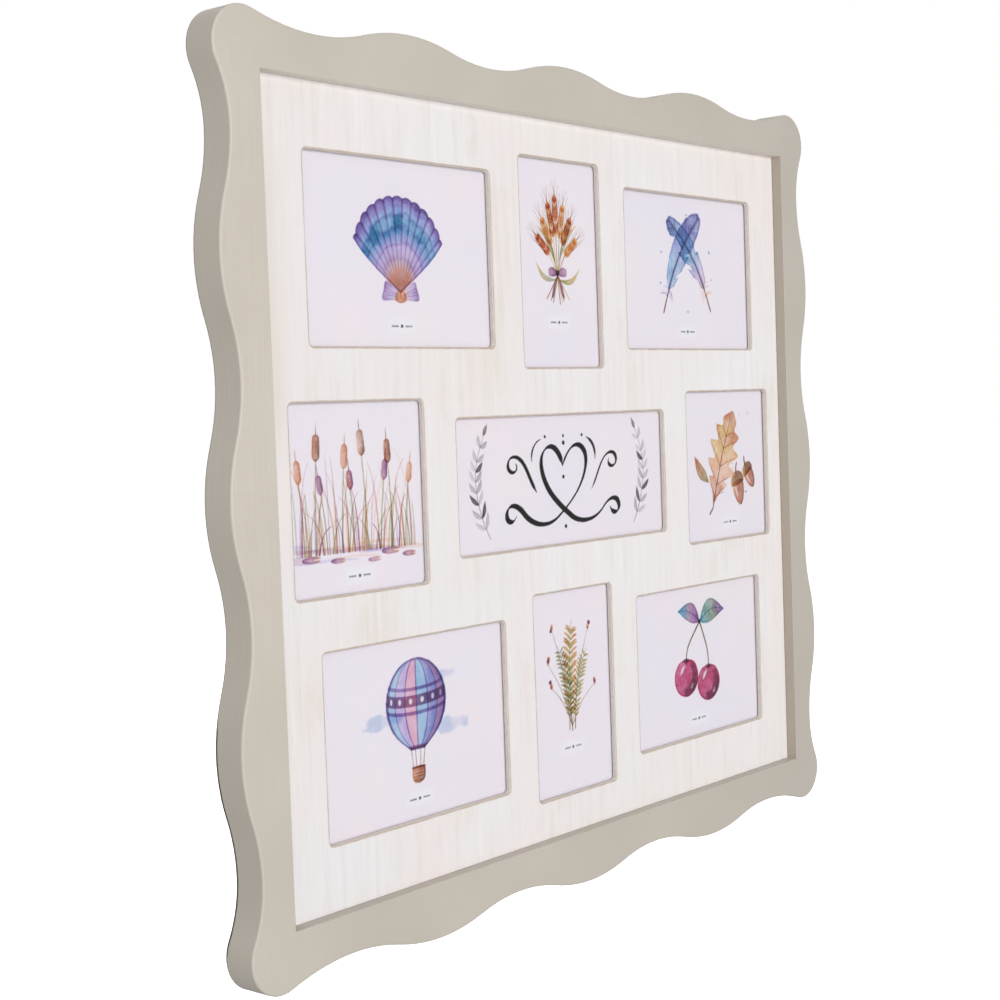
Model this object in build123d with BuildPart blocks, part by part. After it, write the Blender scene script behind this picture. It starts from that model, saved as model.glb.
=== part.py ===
"""Wall-hung collage photo frame with a scalloped outline and nine windows.

Millimetres. +X to the right, +Y into the wall, +Z up. The back of the rails
lies in Y = 0, the wall plane, and the origin is midway between the entry holes
of the two keyhole hangers.
"""
import os
from math import atan2, cos, hypot, radians, sin

from build123d import *

os.makedirs("parts", exist_ok=True)

# ------------------------------------------------------------------ dimensions
KEYHOLE_RISE = 135.0          # keyhole entry holes above the frame's middle
ZC = -KEYHOLE_RISE            # height of the frame's middle

DEPTH = 21.8                  # rails, front to back
OPEN_W, OPEN_H = 539.3, 468.4  # sight size between the rails
RABBET = 6.0                  # how far the panel reaches behind the rails
LIP = 8.4                     # thickness of the rails in front of the panel

TOP_CREST, TOP_TROUGH, TOP_STEP = 268.4, 258.0, 75.0     # scallops, top and bottom
SIDE_CREST, SIDE_TROUGH, SIDE_STEP = 303.3, 292.4, 67.5  # scallops, left and right
LOBE_R = 22.0                 # rounded corner lobe
LOBE_OUT = 10.7               # its centre, out along the mitre (X and Z) from the sight corner
FRONT_ROUND = 1.3             # eased front outer edge
SIGHT_ROUND = 0.6             # eased inner edge
BACK_EASE = 0.5               # eased back edge

PANEL_T = 3.0                 # face panel
POCKET_T = 4.7                # pocket board behind it
PANEL_GAP = 0.4               # between panel and rabbet wall
WINDOW_R = 3.0                # window corners
WINDOW_EASE = 0.5             # sanded window edge

GLASS_T, PRINT_T, BACKING_T = 1.0, 0.3, 3.2
PHOTO_LIP = 8.6               # how far the panel covers a photo on each side
POCKET_GAP = 0.6              # pocket beyond the nominal photo, each side
GLASS_GAP, PRINT_GAP, BACKING_GAP = 0.4, 0.6, 0.5   # pane, print, backing inside their pocket
NOTCH_R = 7.0                 # finger notch in a backing

BUTTON_T = 1.2                # turn button
BUTTON_W = 9.0
BUTTON_ARM, BUTTON_TAIL = 12.5, 5.5
BUTTON_LIFT = 0.2             # above the pocket board
BUTTON_HOLE_R = 1.60
SCREW_R = 1.54                # button screw shank
SCREW_HEAD_R, SCREW_HEAD_T = 2.9, 1.6
SCREW_BITE = 4.2              # thread in the pocket board
BUTTON_OUT = 5.9              # pivot beyond the pocket's edge

POINT_W, POINT_L, POINT_T, POINT_BITE = 10.0, 17.0, 0.6, 6.0

NAIL_LEG, NAIL_T, NAIL_DEEP, NAIL_SINK = 5.5, 0.7, 9.0, 0.2

PLATE_W, PLATE_H, PLATE_T = 16.0, 46.0, 1.5
PLATE_X = 289.6               # keyhole hangers, each side of the middle
PLATE_RISE = 2.0              # plate's middle above its entry hole
ENTRY_R, SLOT_W, SLOT_RUN = 4.5, 5.0, 10.0
PLATE_SCREW_Z = 18.2          # screws above and below the plate's middle
PLATE_SCREW_R, PLATE_HEAD_R, PLATE_SCREW_L = 1.5, 2.8, 11.0
HEAD_POCKET_W, HEAD_POCKET_H, HEAD_POCKET_DEEP = 12.0, 25.0, 11.0

# ------------------------------------------------------- derived depths, planes
PANEL_BACK = DEPTH - LIP - PANEL_T      # distances in front of the wall plane
POCKET_BACK = PANEL_BACK - POCKET_T
BUTTON_UNDER = POCKET_BACK - BUTTON_LIFT
BUTTON_TOP = BUTTON_UNDER - BUTTON_T
HEAD_UNDER = BUTTON_TOP - 0.15

# sketches lie in planes parallel to the wall; extruding runs forward
WALL = Plane(origin=(0, 0, ZC), x_dir=(1, 0, 0), z_dir=(0, -1, 0))

HALF_W, HALF_H = OPEN_W / 2, OPEN_H / 2
BOARD_W, BOARD_H = OPEN_W + 2 * (RABBET - PANEL_GAP), OPEN_H + 2 * (RABBET - PANEL_GAP)

# ------------------------------------------------------------------ the windows
INCH = 25.4
LONG, SHORT = 7 * INCH, 5 * INCH
PLAQUE_W, PLAQUE_H = 240.4, 102.2
COL_X, ROW_Z, SIDE_X = 152.6, 141.4, 196.5

PHOTOS = {   # place: centre across, centre up, nominal width, nominal height
    "top_left": (-COL_X, ROW_Z, LONG, SHORT),
    "top_center": (0.0, ROW_Z, 4 * INCH, 6 * INCH),
    "top_right": (COL_X, ROW_Z, LONG, SHORT),
    "middle_left": (-SIDE_X, 0.0, SHORT, SHORT),
    "center": (0.0, 0.0, PLAQUE_W, PLAQUE_H),
    "middle_right": (SIDE_X, 0.0, SHORT, SHORT),
    "bottom_left": (-COL_X, -ROW_Z, LONG, SHORT),
    "bottom_center": (0.0, -ROW_Z, 4 * INCH, 6 * INCH),
    "bottom_right": (COL_X, -ROW_Z, LONG, SHORT),
}


def window_size(place):
    _, _, w, h = PHOTOS[place]
    return w - 2 * PHOTO_LIP, h - 2 * PHOTO_LIP


def pocket_size(place):
    _, _, w, h = PHOTOS[place]
    return w + 2 * POCKET_GAP, h + 2 * POCKET_GAP


# turn buttons: place -> (pivot across, pivot up, way the arm points in degrees)
def above(place, across):
    _, z, _, _ = PHOTOS[place]
    return across, z + pocket_size(place)[1] / 2 + BUTTON_OUT, -90.0


def below(place, across):
    _, z, _, _ = PHOTOS[place]
    return across, z - pocket_size(place)[1] / 2 - BUTTON_OUT, 90.0


def beside(place, side):
    x, z, _, _ = PHOTOS[place]
    return x + side * (pocket_size(place)[0] / 2 + BUTTON_OUT), z, 180.0 if side > 0 else 0.0


BUTTONS = {
    "top_left_a": above("top_left", -COL_X),
    "top_left_b": below("top_left", -112.0),
    "top_center_a": above("top_center", 0.0),
    "top_center_b": below("top_center", -26.0),
    "top_right_a": above("top_right", COL_X),
    "top_right_b": below("top_right", 112.0),
    "middle_left_a": above("middle_left", -214.0),
    "middle_left_b": below("middle_left", -214.0),
    "center_a": beside("center", -1),
    "center_b": beside("center", 1),
    "middle_right_a": above("middle_right", 214.0),
    "middle_right_b": below("middle_right", 214.0),
    "bottom_left_a": below("bottom_left", -COL_X),
    "bottom_left_b": above("bottom_left", -112.0),
    "bottom_center_a": below("bottom_center", 0.0),
    "bottom_center_b": above("bottom_center", 26.0),
    "bottom_right_a": below("bottom_right", COL_X),
    "bottom_right_b": above("bottom_right", 112.0),
}
PIVOTS = [(x, z) for x, z, _ in BUTTONS.values()]

# ------------------------------------------------------- small metal in the back
# V-nails: two across each mitre, pressed in from the back
NAIL_SPOTS = [
    (sx, sz, sx * (HALF_W + RABBET + run), sz * (HALF_H + RABBET + run))
    for sx in (-1, 1) for sz in (-1, 1) for run in (5.5, 12.5)
]
with BuildPart() as corner_v_nails:
    with BuildSketch(WALL.offset(NAIL_SINK)):
        for sx, sz, x, z in NAIL_SPOTS:
            with Locations((x + sx * (NAIL_LEG - NAIL_T) / 2, z)):
                Rectangle(NAIL_LEG, NAIL_T)
            with Locations((x, z + sz * (NAIL_LEG - NAIL_T) / 2)):
                Rectangle(NAIL_T, NAIL_LEG)
    extrude(amount=NAIL_DEEP)

# framer's points: flat tabs driven into the rabbet wall, over the pocket board
ROW_POINTS = (-205.0, -70.0, 70.0, 205.0)
SIDE_POINTS = (-170.0, -75.0, 75.0, 170.0)
POINT_MID = POINT_BITE - POINT_L / 2
with BuildPart() as framers_points:
    with BuildSketch(WALL.offset(POCKET_BACK - POINT_T)):
        for x in ROW_POINTS:
            for sz in (-1, 1):
                with Locations((x, sz * (HALF_H + RABBET + POINT_MID))):
                    Rectangle(POINT_W, POINT_L)
        for z in SIDE_POINTS:
            for sx in (-1, 1):
                with Locations((sx * (HALF_W + RABBET + POINT_MID), z)):
                    Rectangle(POINT_L, POINT_W)
    extrude(amount=POINT_T)
    fillet(framers_points.edges().filter_by(Axis.Y), radius=1.5)

# countersunk screws of the keyhole hangers
PLATE_CENTRES = [(sx * PLATE_X, KEYHOLE_RISE + PLATE_RISE) for sx in (-1, 1)]
PLATE_SCREWS = [(x, z + s * PLATE_SCREW_Z) for x, z in PLATE_CENTRES for s in (-1, 1)]
PLATE_SINK = PLATE_HEAD_R - PLATE_SCREW_R
with BuildPart() as keyhole_screws:
    with BuildSketch(WALL.offset(0.1)):
        with Locations(*PLATE_SCREWS):
            Circle(PLATE_HEAD_R - 0.1)
    extrude(amount=PLATE_SINK, taper=45)
    with BuildSketch(WALL.offset(0.1)):
        with Locations(*PLATE_SCREWS):
            Circle(PLATE_SCREW_R - 0.1)
    extrude(amount=PLATE_SCREW_L)
    with BuildSketch(WALL.offset(0.1)):
        with Locations(*PLATE_SCREWS):
            Rectangle(3.0, 0.7)
            Rectangle(0.7, 3.0)
    extrude(amount=0.7, mode=Mode.SUBTRACT)
keyhole_screws.part.label = "keyhole_screws"
export_step(keyhole_screws.part, "parts/keyhole_screws.step")
framers_points.part.label = "framers_points"
export_step(framers_points.part, "parts/framers_points.step")
corner_v_nails.part.label = "corner_v_nails"
export_step(corner_v_nails.part, "parts/corner_v_nails.step")

# ------------------------------------------------------------------ keyhole plates
for side, (px, pz) in zip(("left", "right"), PLATE_CENTRES):
    with BuildPart() as plate:
        with BuildSketch(WALL):
            with Locations((px, pz)):
                SlotOverall(PLATE_H, PLATE_W, rotation=90)
            with Locations((px, pz - PLATE_RISE)):
                Circle(ENTRY_R, mode=Mode.SUBTRACT)
            with Locations((px, pz - PLATE_RISE + SLOT_RUN / 2)):
                SlotCenterToCenter(SLOT_RUN, SLOT_W, rotation=90, mode=Mode.SUBTRACT)
            with Locations((px, pz - PLATE_SCREW_Z), (px, pz + PLATE_SCREW_Z)):
                Circle(PLATE_SCREW_R, mode=Mode.SUBTRACT)
        extrude(amount=PLATE_T)
        with BuildSketch(WALL):
            with Locations((px, pz - PLATE_SCREW_Z), (px, pz + PLATE_SCREW_Z)):
                Circle(PLATE_HEAD_R)
        extrude(amount=PLATE_SINK, taper=45, mode=Mode.SUBTRACT)
    plate.part.label = f"keyhole_plate_{side}"
    export_step(plate.part, f"parts/keyhole_plate_{side}.step")


# ------------------------------------------------------------------ scalloped rails
def scallop(crest, trough, step, lobe_u, lobe_v, mitre):
    """Arcs of one rail's outer edge, as (start, middle, end) in (along, outward)."""
    rise = (crest - trough) / 2
    quarter = step / 2
    wave_r = (quarter ** 2 + rise ** 2) / (2 * rise)
    du, dv = lobe_u - 3 * step, trough - lobe_v
    neck_r = (du ** 2 + dv ** 2 - LOBE_R ** 2) / (2 * (LOBE_R - dv))

    def arc(cu, cv, r, a, b):
        """From (au, av) to (bu, bv) about a centre, with the point halfway round."""
        t0, t1 = atan2(a[1] - cv, a[0] - cu), atan2(b[1] - cv, b[0] - cu)
        tm = (t0 + t1) / 2
        return a, (cu + r * cos(tm), cv + r * sin(tm)), b

    mid = (crest + trough) / 2
    turn = [(k * step + quarter, mid) for k in range(3)]
    foot = (3 * step, trough)
    n = hypot(lobe_u - 3 * step, lobe_v - trough - neck_r)
    touch = (lobe_u + LOBE_R * (3 * step - lobe_u) / n, lobe_v + LOBE_R * (trough + neck_r - lobe_v) / n)
    half = [
        arc(step, trough + wave_r, wave_r, turn[0], turn[1]),
        arc(2 * step, crest - wave_r, wave_r, turn[1], turn[2]),
        arc(3 * step, trough + wave_r, wave_r, turn[2], foot),
        arc(3 * step, trough + neck_r, neck_r, foot, touch),
        arc(lobe_u, lobe_v, LOBE_R, touch, mitre),
    ]
    crown = arc(0.0, crest - wave_r, wave_r, (-turn[0][0], mid), turn[0])
    flip = [tuple((-u, v) for u, v in reversed(a)) for a in reversed(half)]
    return flip + [crown] + half


LOBE = (HALF_W + LOBE_OUT, HALF_H + LOBE_OUT)
TIP = (LOBE[0] + LOBE_R * cos(radians(45)), LOBE[1] + LOBE_R * sin(radians(45)))
LONG_EDGE = scallop(TOP_CREST, TOP_TROUGH, TOP_STEP, LOBE[0], LOBE[1], TIP)
TALL_EDGE = scallop(SIDE_CREST, SIDE_TROUGH, SIDE_STEP, LOBE[1], LOBE[0], (TIP[1], TIP[0]))

RAILS = {   # name: arcs, half sight length along, half sight size outward, (along, outward) -> (x, z)
    "top_rail": (LONG_EDGE, HALF_W, HALF_H, lambda u, v: (u, v)),
    "bottom_rail": (LONG_EDGE, HALF_W, HALF_H, lambda u, v: (u, -v)),
    "left_rail": (TALL_EDGE, HALF_H, HALF_W, lambda u, v: (-v, u)),
    "right_rail": (TALL_EDGE, HALF_H, HALF_W, lambda u, v: (v, u)),
}

for name, (arcs, reach, out, turn_to) in RAILS.items():
    with BuildPart() as rail:
        with BuildSketch(WALL):
            with BuildLine():
                for a, m, b in arcs:
                    ThreePointArc(turn_to(*a), turn_to(*m), turn_to(*b))
                Polyline(turn_to(*arcs[-1][2]), turn_to(reach, out), turn_to(-reach, out), turn_to(*arcs[0][0]))
            make_face()
        extrude(amount=DEPTH)
        # eased edges: the front outer one is rounded most
        front = rail.faces().sort_by(Axis.Y)[0]
        fillet(front.edges().filter_by(GeomType.CIRCLE), radius=FRONT_ROUND)
        front = rail.faces().sort_by(Axis.Y)[0]
        sight = Axis.X if name in ("top_rail", "bottom_rail") else Axis.Z
        fillet(front.edges().filter_by(sight), radius=SIGHT_ROUND)
        back = rail.faces().sort_by(Axis.Y)[-1]
        chamfer(back.edges().filter_by(GeomType.CIRCLE), length=BACK_EASE)
        # rabbet for the panel and the pocket board, mitred with the rail
        with BuildSketch(WALL):
            with BuildLine():
                Polyline(
                    turn_to(reach + RABBET, out + RABBET), turn_to(-reach - RABBET, out + RABBET),
                    turn_to(-reach, out), turn_to(reach, out), close=True,
                )
            make_face()
        extrude(amount=DEPTH - LIP, mode=Mode.SUBTRACT)
        # slits that the V-nails and the points are driven into
        add(corner_v_nails.part, mode=Mode.SUBTRACT)
        add(framers_points.part, mode=Mode.SUBTRACT)
        if name in ("left_rail", "right_rail"):
            px, pz = PLATE_CENTRES[0 if name == "left_rail" else 1]
            with BuildSketch(WALL):
                with Locations((px, pz)):
                    SlotOverall(PLATE_H + 0.3, PLATE_W + 0.3, rotation=90)
            extrude(amount=PLATE_T, mode=Mode.SUBTRACT)
            with BuildSketch(WALL):
                with Locations((px, pz + 1.5)):
                    SlotOverall(HEAD_POCKET_H, HEAD_POCKET_W, rotation=90)
            extrude(amount=HEAD_POCKET_DEEP, mode=Mode.SUBTRACT)
            add(keyhole_screws.part, mode=Mode.SUBTRACT)
    rail.part.label = name
    export_step(rail.part, f"parts/{name}.step")

# ------------------------------------------------------------------ panel and pockets
with BuildPart() as face_panel:
    with BuildSketch(WALL.offset(PANEL_BACK)):
        Rectangle(BOARD_W, BOARD_H)
        for place, (x, z, _, _) in PHOTOS.items():
            w, h = window_size(place)
            with Locations((x, z)):
                RectangleRounded(w, h, WINDOW_R, mode=Mode.SUBTRACT)
    extrude(amount=PANEL_T)
    rims = face_panel.faces().sort_by(Axis.Y)[0].inner_wires().edges()
    chamfer(rims, length=WINDOW_EASE)
face_panel.part.label = "face_panel"
export_step(face_panel.part, "parts/face_panel.step")

with BuildPart() as pocket_board:
    with BuildSketch(WALL.offset(POCKET_BACK)):
        Rectangle(BOARD_W, BOARD_H)
        for place, (x, z, _, _) in PHOTOS.items():
            with Locations((x, z)):
                Rectangle(*pocket_size(place), mode=Mode.SUBTRACT)
        with Locations(*PIVOTS):
            Circle(SCREW_R - 0.04, mode=Mode.SUBTRACT)
    extrude(amount=POCKET_T)
pocket_board.part.label = "pocket_board"
export_step(pocket_board.part, "parts/pocket_board.step")

# ------------------------------------------------------------------ glass, print, backing
for place, (x, z, _, _) in PHOTOS.items():
    w, h = pocket_size(place)
    with BuildPart() as glass:
        with BuildSketch(WALL.offset(PANEL_BACK - GLASS_T)):
            with Locations((x, z)):
                Rectangle(w - 2 * GLASS_GAP, h - 2 * GLASS_GAP)
        extrude(amount=GLASS_T)
        chamfer(glass.edges().filter_by(Axis.Y), length=0.5)
    glass.part.label = f"glass_{place}"
    export_step(glass.part, f"parts/glass_{place}.step")

    with BuildPart() as card:
        with BuildSketch(WALL.offset(PANEL_BACK - GLASS_T - PRINT_T)):
            with Locations((x, z)):
                Rectangle(w - 2 * PRINT_GAP, h - 2 * PRINT_GAP)
        extrude(amount=PRINT_T)
    card.part.label = f"print_{place}"
    export_step(card.part, f"parts/print_{place}.step")

    with BuildPart() as backing:
        with BuildSketch(WALL.offset(PANEL_BACK - GLASS_T - PRINT_T - BACKING_T)):
            with Locations((x, z)):
                RectangleRounded(w - 2 * BACKING_GAP, h - 2 * BACKING_GAP, 1.5)
            # finger notch to lift the board out, on a side with no button
            if place == "center":
                with Locations((x, z - h / 2 + BACKING_GAP)):
                    Circle(NOTCH_R, mode=Mode.SUBTRACT)
            else:
                outer = -1 if place.endswith("left") else 1
                with Locations((x + outer * (w / 2 - BACKING_GAP), z)):
                    Circle(NOTCH_R, mode=Mode.SUBTRACT)
        extrude(amount=BACKING_T)
    backing.part.label = f"backing_{place}"
    export_step(backing.part, f"parts/backing_{place}.step")

# ------------------------------------------------------------------ turn buttons
for spot, (x, z, angle) in BUTTONS.items():
    at = Plane(
        origin=(x, -BUTTON_TOP, ZC + z),
        x_dir=(cos(radians(angle)), 0, sin(radians(angle))),
        z_dir=(0, -1, 0),
    )
    with BuildPart() as button:
        with BuildSketch(at):
            with BuildLine():
                # a tapered tab: full width at the pivot, narrower at the arm's tip
                tail = Polyline((-BUTTON_TAIL + 2.2, -BUTTON_W / 2), (1.5, -BUTTON_W / 2), (BUTTON_ARM - 3.2, -BUTTON_W / 2 + 1.1))
                nose = ThreePointArc((BUTTON_ARM - 3.2, -BUTTON_W / 2 + 1.1), (BUTTON_ARM, 0), (BUTTON_ARM - 3.2, BUTTON_W / 2 - 1.1))
                Polyline((BUTTON_ARM - 3.2, BUTTON_W / 2 - 1.1), (1.5, BUTTON_W / 2), (-BUTTON_TAIL + 2.2, BUTTON_W / 2))
                ThreePointArc((-BUTTON_TAIL + 2.2, BUTTON_W / 2), (-BUTTON_TAIL, 0), (-BUTTON_TAIL + 2.2, -BUTTON_W / 2))
            make_face()
            Circle(BUTTON_HOLE_R, mode=Mode.SUBTRACT)
        extrude(amount=BUTTON_T)
        # pressed rib along the arm, for the fingertip
        with BuildSketch(at):
            with Locations((BUTTON_ARM - 4.9, 0)):
                SlotOverall(6.6, 2.0)
        extrude(amount=-0.6)
        rib = button.faces().sort_by(Axis.Y)[-1]
        fillet(rib.edges(), radius=0.4)
    button.part.label = f"turn_button_{spot}"
    export_step(button.part, f"parts/turn_button_{spot}.step")

# pan-head screws, one through each button into the pocket board
with BuildPart() as turn_button_screws:
    with BuildSketch(WALL.offset(HEAD_UNDER - SCREW_HEAD_T)):
        with Locations(*PIVOTS):
            Circle(SCREW_HEAD_R)
    extrude(amount=SCREW_HEAD_T)
    crowns = turn_button_screws.faces().filter_by(Plane.XZ).group_by(Axis.Y)[-1].edges()
    fillet(crowns, radius=0.8)
    with BuildSketch(WALL.offset(HEAD_UNDER)):
        with Locations(*PIVOTS):
            Circle(SCREW_R)
    extrude(amount=POCKET_BACK - HEAD_UNDER - 0.05)
    with BuildSketch(WALL.offset(POCKET_BACK - 0.05)):
        with Locations(*PIVOTS):
            Circle(SCREW_R - 0.04)
    extrude(amount=SCREW_BITE)
    with BuildSketch(WALL.offset(HEAD_UNDER - SCREW_HEAD_T)):
        with Locations(*PIVOTS):
            Rectangle(3.4, 0.7)
            Rectangle(0.7, 3.4)
    extrude(amount=0.8, mode=Mode.SUBTRACT)
turn_button_screws.part.label = "turn_button_screws"
export_step(turn_button_screws.part, "parts/turn_button_screws.step")
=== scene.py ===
import math

import bpy
import numpy as np
from mathutils import Matrix, Vector


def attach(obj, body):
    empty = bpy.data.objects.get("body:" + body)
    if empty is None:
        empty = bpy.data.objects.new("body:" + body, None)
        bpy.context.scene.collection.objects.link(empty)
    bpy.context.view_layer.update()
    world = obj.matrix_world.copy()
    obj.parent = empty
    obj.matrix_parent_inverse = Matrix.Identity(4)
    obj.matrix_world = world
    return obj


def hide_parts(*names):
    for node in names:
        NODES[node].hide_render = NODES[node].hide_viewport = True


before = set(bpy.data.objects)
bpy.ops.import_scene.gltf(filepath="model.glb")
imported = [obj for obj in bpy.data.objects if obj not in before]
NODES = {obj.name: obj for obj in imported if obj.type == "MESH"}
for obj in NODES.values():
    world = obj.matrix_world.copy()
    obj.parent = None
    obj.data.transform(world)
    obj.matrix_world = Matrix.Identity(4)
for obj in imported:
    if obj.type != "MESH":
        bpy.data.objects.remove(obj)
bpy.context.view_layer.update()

# ---------------------------------------------------------------- sizes, mm
ZC = -135.0                   # height of the frame's middle
DEPTH, LIP, PANEL_T = 21.8, 8.4, 3.0
HALF_W, HALF_H = 269.65, 234.2
RABBET = 6.0
WINDOW_R = 3.0
WINDOWS = {   # window: centre across, centre up from the middle, width, height
    "corner": (152.6, 141.4, 160.6, 109.8),
    "column": (0.0, 141.4, 84.4, 135.2),
    "side": (196.5, 0.0, 109.8, 109.8),
    "middle": (0.0, 0.0, 223.2, 85.0),
}
PLACES = [
    "top_left", "top_center", "top_right", "middle_left", "center", "middle_right",
    "bottom_left", "bottom_center", "bottom_right",
]


# ---------------------------------------------------------------- node helper
class Graph:
    """A material's node tree, built in short calls."""

    def __init__(self, name):
        self.m = bpy.data.materials.new(name)
        self.m.use_nodes = True
        self.t = self.m.node_tree
        self.t.nodes.clear()
        self.out = self.t.nodes.new("ShaderNodeOutputMaterial")
        self._mm = None

    def put(self, sock, v):
        if v is None:
            return
        if isinstance(v, bpy.types.NodeSocket):
            self.t.links.new(v, sock)
        else:
            sock.default_value = v

    def node(self, kind, ins=None, **props):
        n = self.t.nodes.new("ShaderNode" + kind)
        for k, v in props.items():
            setattr(n, k, v)
        for k, v in (ins or {}).items():
            self.put(n.inputs[k], v)
        return n

    def math(self, op, a, b=None, c=None, clamp=False):
        n = self.node("Math", operation=op, use_clamp=clamp)
        for i, v in enumerate((a, b, c)):
            self.put(n.inputs[i], v)
        return n.outputs[0]

    def add(self, a, b): return self.math("ADD", a, b)
    def sub(self, a, b): return self.math("SUBTRACT", a, b)
    def mul(self, a, b): return self.math("MULTIPLY", a, b)
    def high(self, a, b): return self.math("MAXIMUM", a, b)
    def low(self, a, b): return self.math("MINIMUM", a, b)

    def mm(self):
        """Place on the object in millimetres: (x, y, z) sockets, z from the frame's middle."""
        if self._mm is None:
            co = self.node("TexCoord").outputs["Object"]
            v = self.node("VectorMath", {0: co}, operation="SCALE")
            v.inputs["Scale"].default_value = 1000.0
            s = self.node("SeparateXYZ", {0: v.outputs[0]})
            self._mm = (s.outputs[0], s.outputs[1], self.sub(s.outputs[2], ZC))
        return self._mm

    def normal(self):
        s = self.node("SeparateXYZ", {0: self.node("NewGeometry").outputs["Normal"]})
        return s.outputs[0], s.outputs[1], s.outputs[2]

    def vec(self, x, y, z):
        n = self.node("CombineXYZ")
        for i, v in enumerate((x, y, z)):
            self.put(n.inputs[i], v)
        return n.outputs[0]

    def noise(self, vec, scale=1.0, detail=2.0, rough=0.5, distort=0.0):
        n = self.node("TexNoise", {"Vector": vec, "Scale": scale, "Detail": detail, "Roughness": rough, "Distortion": distort})
        return n.outputs[0]

    def cells(self, vec, scale=1.0, feature="F1", out="Distance"):
        n = self.node("TexVoronoi", {"Vector": vec, "Scale": scale}, feature=feature)
        return n.outputs[out]

    def span(self, v, a, b, c=0.0, d=1.0, smooth=True):
        n = self.node("MapRange", {0: v, 1: a, 2: b, 3: c, 4: d}, interpolation_type="SMOOTHSTEP" if smooth else "LINEAR")
        return n.outputs[0]

    def mix(self, fac, a, b, kind="MIX"):
        n = self.node("Mix", data_type="RGBA", blend_type=kind)
        self.put(n.inputs[0], fac)
        self.put(n.inputs[6], a if isinstance(a, bpy.types.NodeSocket) else (*a, 1.0))
        self.put(n.inputs[7], b if isinstance(b, bpy.types.NodeSocket) else (*b, 1.0))
        return n.outputs[2]

    def ramp(self, fac, stops):
        n = self.node("ValToRGB", {0: fac})
        e = n.color_ramp.elements
        while len(e) < len(stops):
            e.new(0.5)
        for el, (p, c) in zip(e, stops):
            el.position, el.color = p, (*c, 1.0)
        return n.outputs[0]

    def bump(self, height, strength=0.3, distance=0.0005, under=None):
        n = self.node("Bump", {"Height": height, "Strength": strength, "Distance": distance})
        self.put(n.inputs["Normal"], under)
        return n.outputs[0]

    def surface(self, **ins):
        p = self.node("BsdfPrincipled")
        for k, v in ins.items():
            self.put(p.inputs[k.replace("_", " ")], v if not (isinstance(v, tuple) and len(v) == 3) else (*v, 1.0))
        self.t.links.new(p.outputs[0], self.out.inputs[0])
        return p


def srgb(r, g, b):
    """An 8-bit display colour as linear light."""
    return tuple((c / 255 / 12.92) if c / 255 <= 0.04045 else ((c / 255 + 0.055) / 1.055) ** 2.4 for c in (r, g, b))


def dress(names, material):
    for n in names:
        o = NODES[n]
        if not o.data.materials:
            o.data.materials.append(material)
        for i in range(len(o.data.materials)):
            o.data.materials[i] = material


# ---------------------------------------------------------------- board, raw
def raw_fibre(g, x, y, z):
    """Raw MDF: a tan felt of fine fibres. Returns colour, height."""
    p = g.vec(x, y, z)
    fine = g.noise(p, 1.6, 4.0, 0.65)
    mid = g.noise(p, 0.16, 3.0, 0.55)
    fleck = g.cells(p, 0.9)
    c = g.ramp(fine, [(0.28, srgb(150, 120, 86)), (0.5, srgb(181, 150, 112)), (0.74, srgb(205, 178, 140))])
    c = g.mix(g.span(mid, 0.35, 0.7, 0.0, 0.35), c, srgb(164, 131, 94))
    c = g.mix(g.span(fleck, 0.22, 0.05, 0.0, 0.45), c, srgb(112, 84, 56))
    return c, g.add(g.mul(fine, 0.7), g.mul(mid, 0.3))


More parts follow.
